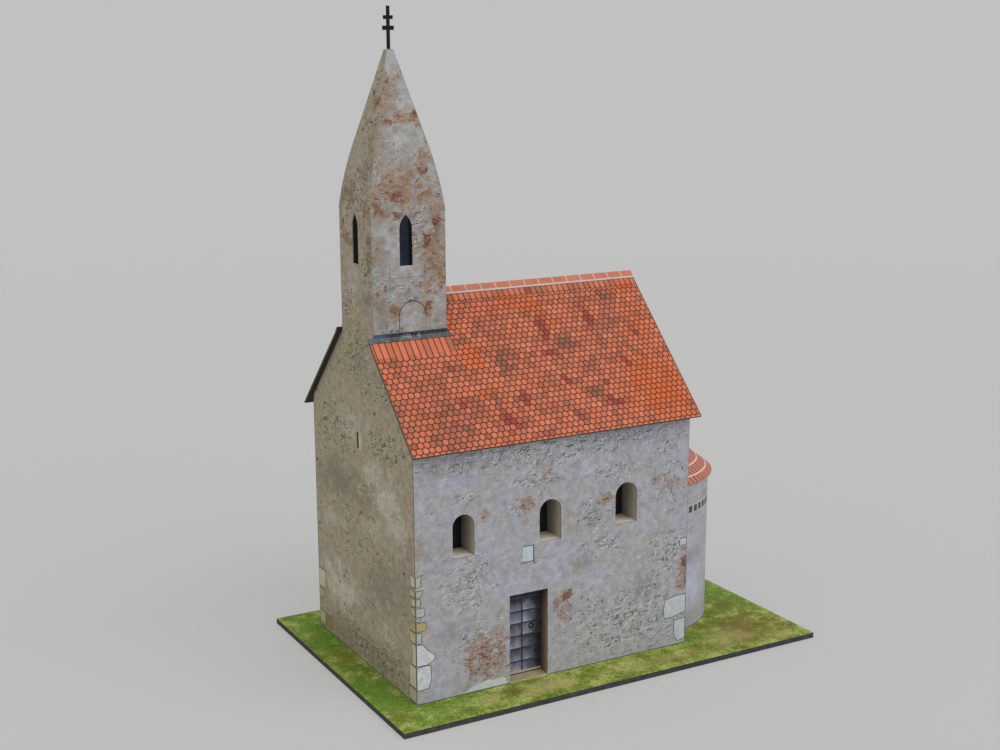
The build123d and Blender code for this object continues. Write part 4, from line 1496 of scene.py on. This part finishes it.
def stone_print(kind):
    """Dressed stone with a few pits."""
    dark, light, start = STONE_KINDS[kind]
    card = CardPrint(f"{kind}_stone_print")
    spot = card.moved(card.from_nave(), start)
    card.paper(spot)
    colour = card.graded(card.grain(spot, STONE_CLOUDS), STONE_STOPS, (dark, light))
    colour = card.uneven(colour, card.grain(spot, STONE_SPECKLE), SPECKLE_LIGHT)
    pits = card.step(card.grain(spot, STONE_PITS), STONE_PIT_EDGE)
    return card.finish(card.printed(colour, pits, STONE_PIT_INK, STONE_PIT_STRENGTH))


stone_materials = [stone_print(kind) for kind in STONE_KINDS]
stone_materials.append(mottled("stone_ink", tone(64, 66, 60), tone(86, 86, 80), size=1.0))
slit_ink = mottled("slit_ink", tone(38, 36, 30), tone(54, 50, 42), size=1.0)
PLATE_KINDS = (*STONE_KINDS, "ink", "slit")


def on_south(across, up):
    return Vector((across, SOUTH_FACE, up))


def on_west(across, up):
    return Vector((WEST_FACE, -across, up))


def printed_plate(bm, kind, outline, on_wall, lift, border=None, rounding=STONE_ROUNDING):
    """A plate a hair thick on a wall, with rounded corners and, for a stone, an inked border."""
    others = set(bm.faces)
    plate = bm.faces.new([bm.verts.new(on_wall(across, up)) for across, up in outline])
    bmesh.ops.bevel(bm, geom=plate.verts[:], offset=rounding, affect="VERTICES", segments=ROUNDING_SEGMENTS,
                    profile=0.5, material=-1)
    middle = [face for face in bm.faces if face not in others]
    for face in middle:
        face.material_index = PLATE_KINDS.index(kind)
    if border:
        bmesh.ops.inset_region(bm, faces=middle, thickness=INK_WIDTH, use_boundary=True, use_even_offset=True)
        for face in bm.faces:
            if face not in others and face not in middle:
                face.material_index = PLATE_KINDS.index(border)
    sheet = [face for face in bm.faces if face not in others]
    raised = bmesh.ops.extrude_face_region(bm, geom=sheet)["geom"]
    corners = [element for element in raised if isinstance(element, bmesh.types.BMVert)]
    bmesh.ops.translate(bm, verts=corners, vec=lift * PLATE_THICKNESS)


def make_piece(name, bm, materials):
    """Turns a bmesh in nave millimetres into a piece of the object."""
    bmesh.ops.scale(bm, verts=bm.verts, vec=(MM, MM, MM))
    bmesh.ops.translate(bm, verts=bm.verts, vec=NAVE)
    bmesh.ops.recalc_face_normals(bm, faces=bm.faces)
    mesh = bpy.data.meshes.new(name)
    bm.to_mesh(mesh)
    bm.free()
    for material in materials:
        mesh.materials.append(material)
    piece = bpy.data.objects.new(name, mesh)
    scene.collection.objects.link(piece)
    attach(piece, "root")


def rectangle(left, right, low, high):
    return ((left, low), (right, low), (right, high), (left, high))


# Kind and outline: the way from the corner of the wall, and the height
SOUTH_WEST_STONES = (
    ("beige", ((0.0, 30.0), (1.7, 30.3), (1.5, 31.8), (2.2, 33.4), (0.9, 32.8), (0.0, 32.9))),
    ("green", ((0.0, 27.4), (1.6, 27.6), (2.3, 29.4), (0.0, 29.3))),
    ("green", rectangle(0.0, 1.5, 25.1, 27.3)),
    ("grey", ((0.0, 22.6), (2.4, 22.5), (2.7, 24.9), (0.0, 24.9))),
    ("grey", ((0.0, 21.4), (1.0, 21.3), (1.8, 22.4), (0.0, 22.4))),
    ("ochre", ((0.0, 18.7), (2.6, 18.9), (3.1, 20.0), (2.8, 21.2), (0.0, 21.2))),
    ("grey", rectangle(0.0, 1.6, 15.7, 18.6)),
    ("pale", ((0.0, 10.0), (3.0, 9.9), (4.8, 10.9), (5.4, 12.2), (3.6, 13.4), (1.6, 15.6), (0.0, 15.6))),
    ("pale", ((0.0, 3.6), (3.4, 3.8), (4.1, 6.5), (3.9, 9.9), (0.0, 9.8))),
)
SOUTH_EAST_STONES = (
    ("white", ((-7.0, 8.1), (-4.4, 7.9), (0.0, 8.9), (0.0, 14.0), (-3.4, 13.9), (-6.8, 13.2), (-7.2, 10.6))),
    ("white", ((-2.6, 0.8), (0.0, 1.3), (0.0, 7.3), (-3.8, 7.0), (-3.7, 2.8))),
    ("white", ((-2.5, 27.5), (0.0, 27.7), (0.0, 29.7), (-2.4, 29.6))),
)
# The south-west courses turned round the corner onto the gable
GABLE_SOUTH_STONES = (
    ("drab", rectangle(-2.6, 0.0, 30.0, 32.9)),
    ("olive", rectangle(-3.2, 0.0, 27.4, 29.3)),
    ("drab", rectangle(-2.2, 0.0, 25.1, 27.3)),
    ("olive", rectangle(-2.6, 0.0, 22.6, 24.9)),
    ("ochre", rectangle(-2.9, 0.0, 18.7, 21.2)),
    ("olive", rectangle(-3.6, 0.0, 15.7, 18.6)),
    ("drab", rectangle(-2.2, 0.0, 10.0, 15.6)),
    ("drab", rectangle(-3.9, 0.0, 4.2, 9.8)),
    ("olive", rectangle(-4.2, 0.0, 0.4, 4.0)),
)
GABLE_NORTH_STONES = (
    ("drab", rectangle(0.0, 4.8, 11.7, 17.0)),
    ("olive", rectangle(0.0, 3.4, 8.4, 11.2)),
    ("brown", ((4.4, 1.0), (9.4, 1.0), (9.0, 4.2), (4.6, 4.6))),
    ("olive", ((0.0, 1.0), (4.2, 0.9), (3.9, 4.6), (0.0, 4.8))),
)
# Stones, where their corner is across the wall, the wall, and the way out of it
STONE_CORNERS = (
    (SOUTH_WEST_STONES, WEST_FACE, on_south, SOUTHWARD),
    (SOUTH_EAST_STONES, EAST_FACE, on_south, SOUTHWARD),
    (GABLE_SOUTH_STONES, GABLE_HALF, on_west, WESTWARD),
    (GABLE_NORTH_STONES, -GABLE_HALF, on_west, WESTWARD),
)


def make_corner_stones():
    bm = bmesh.new()
    for stones, corner, on_wall, lift in STONE_CORNERS:
        for kind, outline in stones:
            placed = [(corner + across, up) for across, up in outline]
            printed_plate(bm, kind, placed, on_wall, lift, border="ink")
    make_piece("corner_stones", bm, stone_materials)


LIMED_PATCH = (
    (-27.8, 0.35), (-14.9, 0.35), (-15.2, 1.8), (-16.6, 2.4), (-18.6, 2.1), (-20.4, 2.5), (-23.2, 1.7),
    (-24.8, 1.5), (-26.0, 0.8),
)
SMALL_STONE = ((8.1, 7.2), (9.7, 7.3), (10.0, 8.2), (9.2, 9.0), (8.0, 8.6))
# Kind, outline, the wall, the way out of it, and the corners' rounding; the first is the plaque's painted
# shadow
WALL_MARKS = (
    # The plaque's painted shadow: a dark plate behind it that shows past its east side, its foot and its top
    ("ink", rectangle(-10.1, -6.95, 31.3, 35.6), on_south, SOUTHWARD / 2, 0.1),
    ("plaque", rectangle(-10.3, -7.3, 31.5, 35.4), on_south, SOUTHWARD, 0.1),
    ("grey", SMALL_STONE, on_south, SOUTHWARD, 0.3),
    ("limed", LIMED_PATCH, on_south, SOUTHWARD, 0.25),
    ("slit", rectangle(-1.9, -1.0, 57.4, 61.7), on_west, WESTWARD, 0.12),
)


def make_wall_marks():
    """The plaque over the door with its painted shadow, a pale stone, the limed patch at the foot and the
    gable's slit.
    """
    bm = bmesh.new()
    for kind, outline, on_wall, lift, rounding in WALL_MARKS:
        printed_plate(bm, kind, outline, on_wall, lift, rounding=rounding)
    make_piece("wall_marks", bm, [*stone_materials, slit_ink])


# The door's ironwork

DOOR_BAR_WIDTH = 0.42
DOOR_BAR_THICKNESS = 0.08
DOOR_BAR_EDGE = 0.03
DOOR_BAR_END_GAP = 0.35
RING_EAST = -5.9
RING_UP = 12.75
RING_RADIUS = 0.62
RING_WIRE = 0.11
RING_STEPS = 32
WIRE_SEGMENTS = 8
RING_PLATE = 0.32
RING_PLATE_TOP = 0.224
RING_PLATE_SEGMENTS = 16
OUT_OF_DOOR = Matrix.Rotation(math.pi / 2, 4, "X")


def add_bar(bm, left, right, low, high):
    """A flat iron strip on the door sheet."""
    middle = Vector(((left + right) / 2, DOOR_LOW.y - DOOR_BAR_THICKNESS / 2, (low + high) / 2))
    size = Matrix.Diagonal((right - left, DOOR_BAR_THICKNESS, high - low, 1.0))
    bar = bmesh.ops.create_cube(bm, size=1.0, matrix=Matrix.Translation(middle) @ size)["verts"]
    edges = {edge for corner in bar for edge in corner.link_edges}
    bmesh.ops.bevel(bm, geom=list(edges), offset=DOOR_BAR_EDGE, affect="EDGES", segments=1,
                    profile=0.5, material=-1)


def add_ring_handle(bm):
    """A wire ring that hangs from a small round plate."""
    middle = Vector((RING_EAST, DOOR_LOW.y - DOOR_BAR_THICKNESS - RING_WIRE, RING_UP))
    wire_place = Matrix.Translation(middle + EASTWARD * RING_RADIUS) @ OUT_OF_DOOR
    wire = bmesh.ops.create_circle(bm, segments=WIRE_SEGMENTS, radius=RING_WIRE, matrix=wire_place)["verts"]
    wire_edges = list({edge for corner in wire for edge in corner.link_edges})
    bmesh.ops.spin(bm, geom=wire + wire_edges, cent=middle, axis=NORTHWARD, dvec=(0.0, 0.0, 0.0),
                   angle=2 * math.pi, steps=RING_STEPS, use_merge=True)
    plate_place = Matrix.Translation(middle + Vector((0.0, RING_WIRE, RING_RADIUS))) @ OUT_OF_DOOR
    bmesh.ops.create_cone(bm, cap_ends=True, segments=RING_PLATE_SEGMENTS, radius1=RING_PLATE,
                          radius2=RING_PLATE_TOP, depth=2 * RING_WIRE, matrix=plate_place)


def make_door_iron():
    """The grid of strips and the ring handle."""
    bm = bmesh.new()
    recess_low, recess_high = box_mm("door_reveal")
    left = recess_low.x + DOOR_BAR_END_GAP
    right = recess_high.x - DOOR_BAR_END_GAP
    half = DOOR_BAR_WIDTH / 2
    for height in DOOR_BARS:
        add_bar(bm, left, right, height - half, height + half)
    add_bar(bm, DOOR_MIDDLE - half, DOOR_MIDDLE + half, DOOR_FOOT_PALE, DOOR_HEAD_BAR + half)
    add_bar(bm, left, right, DOOR_HEAD_BAR, DOOR_HEAD_BAR + DOOR_BAR_WIDTH)
    add_ring_handle(bm)
    iron = mottled("iron_print", tone(40, 42, 54), tone(60, 62, 78), size=0.9, roughness=0.6, specular=0.3)
    make_piece("door_ironwork", bm, (iron,))


make_corner_stones()
make_wall_marks()
make_door_iron()


# Floor, light and camera

FLOOR_RADIUS = 3.0
FLOOR_SEGMENTS = 64
FLOOR_GREY = tone(191, 191, 191)
FLOOR_SEEN_GREY = tone(192, 192, 192)
FLOOR_SEEN_SHARE = 0.55
FLOOR_FADE = (0.35, 1.4)
BACKDROP_GREY = tone(193, 193, 193)
SKY_COLOUR = (0.96, 0.98, 1.0, 1.0)
SKY_STRENGTH = 0.66


def seen_straight(nodes, links):
    """1 for rays that show a surface to the camera, in a mirror or through glass."""
    path = nodes.new("ShaderNodeLightPath")
    seen = path.outputs["Is Camera Ray"]
    for kind in ("Is Glossy Ray", "Is Transmission Ray"):
        either = nodes.new("ShaderNodeMath")
        either.operation = "MAXIMUM"
        links.new(seen, either.inputs[0])
        links.new(path.outputs[kind], either.inputs[1])
        seen = either.outputs[0]
    return seen


def mix_shaders(nodes, links, share, first, second):
    mix = nodes.new("ShaderNodeMixShader")
    links.new(share, mix.inputs["Fac"])
    links.new(first.outputs[0], mix.inputs[1])
    links.new(second.outputs[0], mix.inputs[2])
    return mix


def floor_material():
    """Pale grey with a soft shadow, fading into the backdrop far from the object."""
    card = CardPrint("floor_grey", roughness=0.9, specular=0.1)
    nodes, links = card.nodes, card.links
    card.shader.inputs["Base Color"].default_value = FLOOR_GREY
    pale = nodes.new("ShaderNodeEmission")
    pale.inputs["Color"].default_value = FLOOR_SEEN_GREY
    pale_share = card.times(seen_straight(nodes, links), FLOOR_SEEN_SHARE)
    near = mix_shaders(nodes, links, pale_share, card.shader, pale)
    away = card.length(nodes.new("ShaderNodeTexCoord").outputs["Object"])
    clear = nodes.new("ShaderNodeBsdfTransparent")
    faded = mix_shaders(nodes, links, card.step(away, FLOOR_FADE), near, clear)
    links.new(faded.outputs[0], nodes["Material Output"].inputs["Surface"])
    return card.material


def make_floor():
    bm = bmesh.new()
    bmesh.ops.create_circle(bm, cap_ends=True, segments=FLOOR_SEGMENTS, radius=FLOOR_RADIUS)
    bmesh.ops.translate(bm, verts=bm.verts, vec=(0, 0, cad_box[0].z))
    mesh = bpy.data.meshes.new("floor")
    bm.to_mesh(mesh)
    bm.free()
    mesh.materials.append(floor_material())
    floor = bpy.data.objects.new("floor", mesh)
    scene.collection.objects.link(floor)


def make_world():
    """Even light from all round, and a plain backdrop where the camera sees past the floor."""
    world = bpy.data.worlds.new("studio")
    scene.world = world
    world.use_nodes = True
    nodes, links = world.node_tree.nodes, world.node_tree.links
    light = nodes["Background"]
    light.inputs["Color"].default_value = SKY_COLOUR
    light.inputs["Strength"].default_value = SKY_STRENGTH
    backdrop = nodes.new("ShaderNodeBackground")
    backdrop.inputs["Color"].default_value = BACKDROP_GREY
    mix = mix_shaders(nodes, links, seen_straight(nodes, links), light, backdrop)
    links.new(mix.outputs[0], nodes["World Output"].inputs["Surface"])


# Name, the way to the lamp, strength, colour, and spread in degrees
LAMPS = (
    ("key_lamp", (0.45, -0.85, 0.6), 1.5, (1.0, 0.99, 0.97), 60),
    ("side_lamp", (-0.9, -0.15, 0.5), 0.7, (1.0, 0.88, 0.68), 70),
)


def make_lamps():
    for name, toward, strength, colour, spread in LAMPS:
        data = bpy.data.lights.new(name, "SUN")
        data.energy = strength
        data.color = colour
        data.angle = math.radians(spread)
        lamp = bpy.data.objects.new(name, data)
        lamp.rotation_mode = "QUATERNION"
        lamp.rotation_quaternion = Vector(toward).to_track_quat("Z", "Y")
        scene.collection.objects.link(lamp)


PHOTO_WIDTH = 1000
SENSOR = 36.0
FOCAL_PIXELS = 1464.7
CLIP_START = 0.01
CAMERA_PLACE = Vector((-183.68, -329.49, 154.04))
CAMERA_TURN = math.radians(-29.207)
CAMERA_DROP = math.radians(12.236)
CAMERA_ROLL = math.radians(-0.237)


def make_camera():
    data = bpy.data.cameras.new("camera")
    data.sensor_width = SENSOR
    data.lens = FOCAL_PIXELS * SENSOR / PHOTO_WIDTH
    data.clip_start = CLIP_START
    forward = Vector((-math.sin(CAMERA_TURN) * math.cos(CAMERA_DROP),
                      math.cos(CAMERA_TURN) * math.cos(CAMERA_DROP),
                      -math.sin(CAMERA_DROP)))
    level = Vector((math.cos(CAMERA_TURN), math.sin(CAMERA_TURN), 0.0))
    upright = level.cross(forward)
    right = level * math.cos(CAMERA_ROLL) + upright * math.sin(CAMERA_ROLL)
    upward = upright * math.cos(CAMERA_ROLL) - level * math.sin(CAMERA_ROLL)
    camera = bpy.data.objects.new("camera", data)
    turned = Matrix((right, upward, -forward)).transposed()
    camera.matrix_world = Matrix.Translation(NAVE + CAMERA_PLACE * MM) @ turned.to_4x4()
    scene.collection.objects.link(camera)
    scene.camera = camera


make_floor()
make_world()
make_lamps()
make_camera()
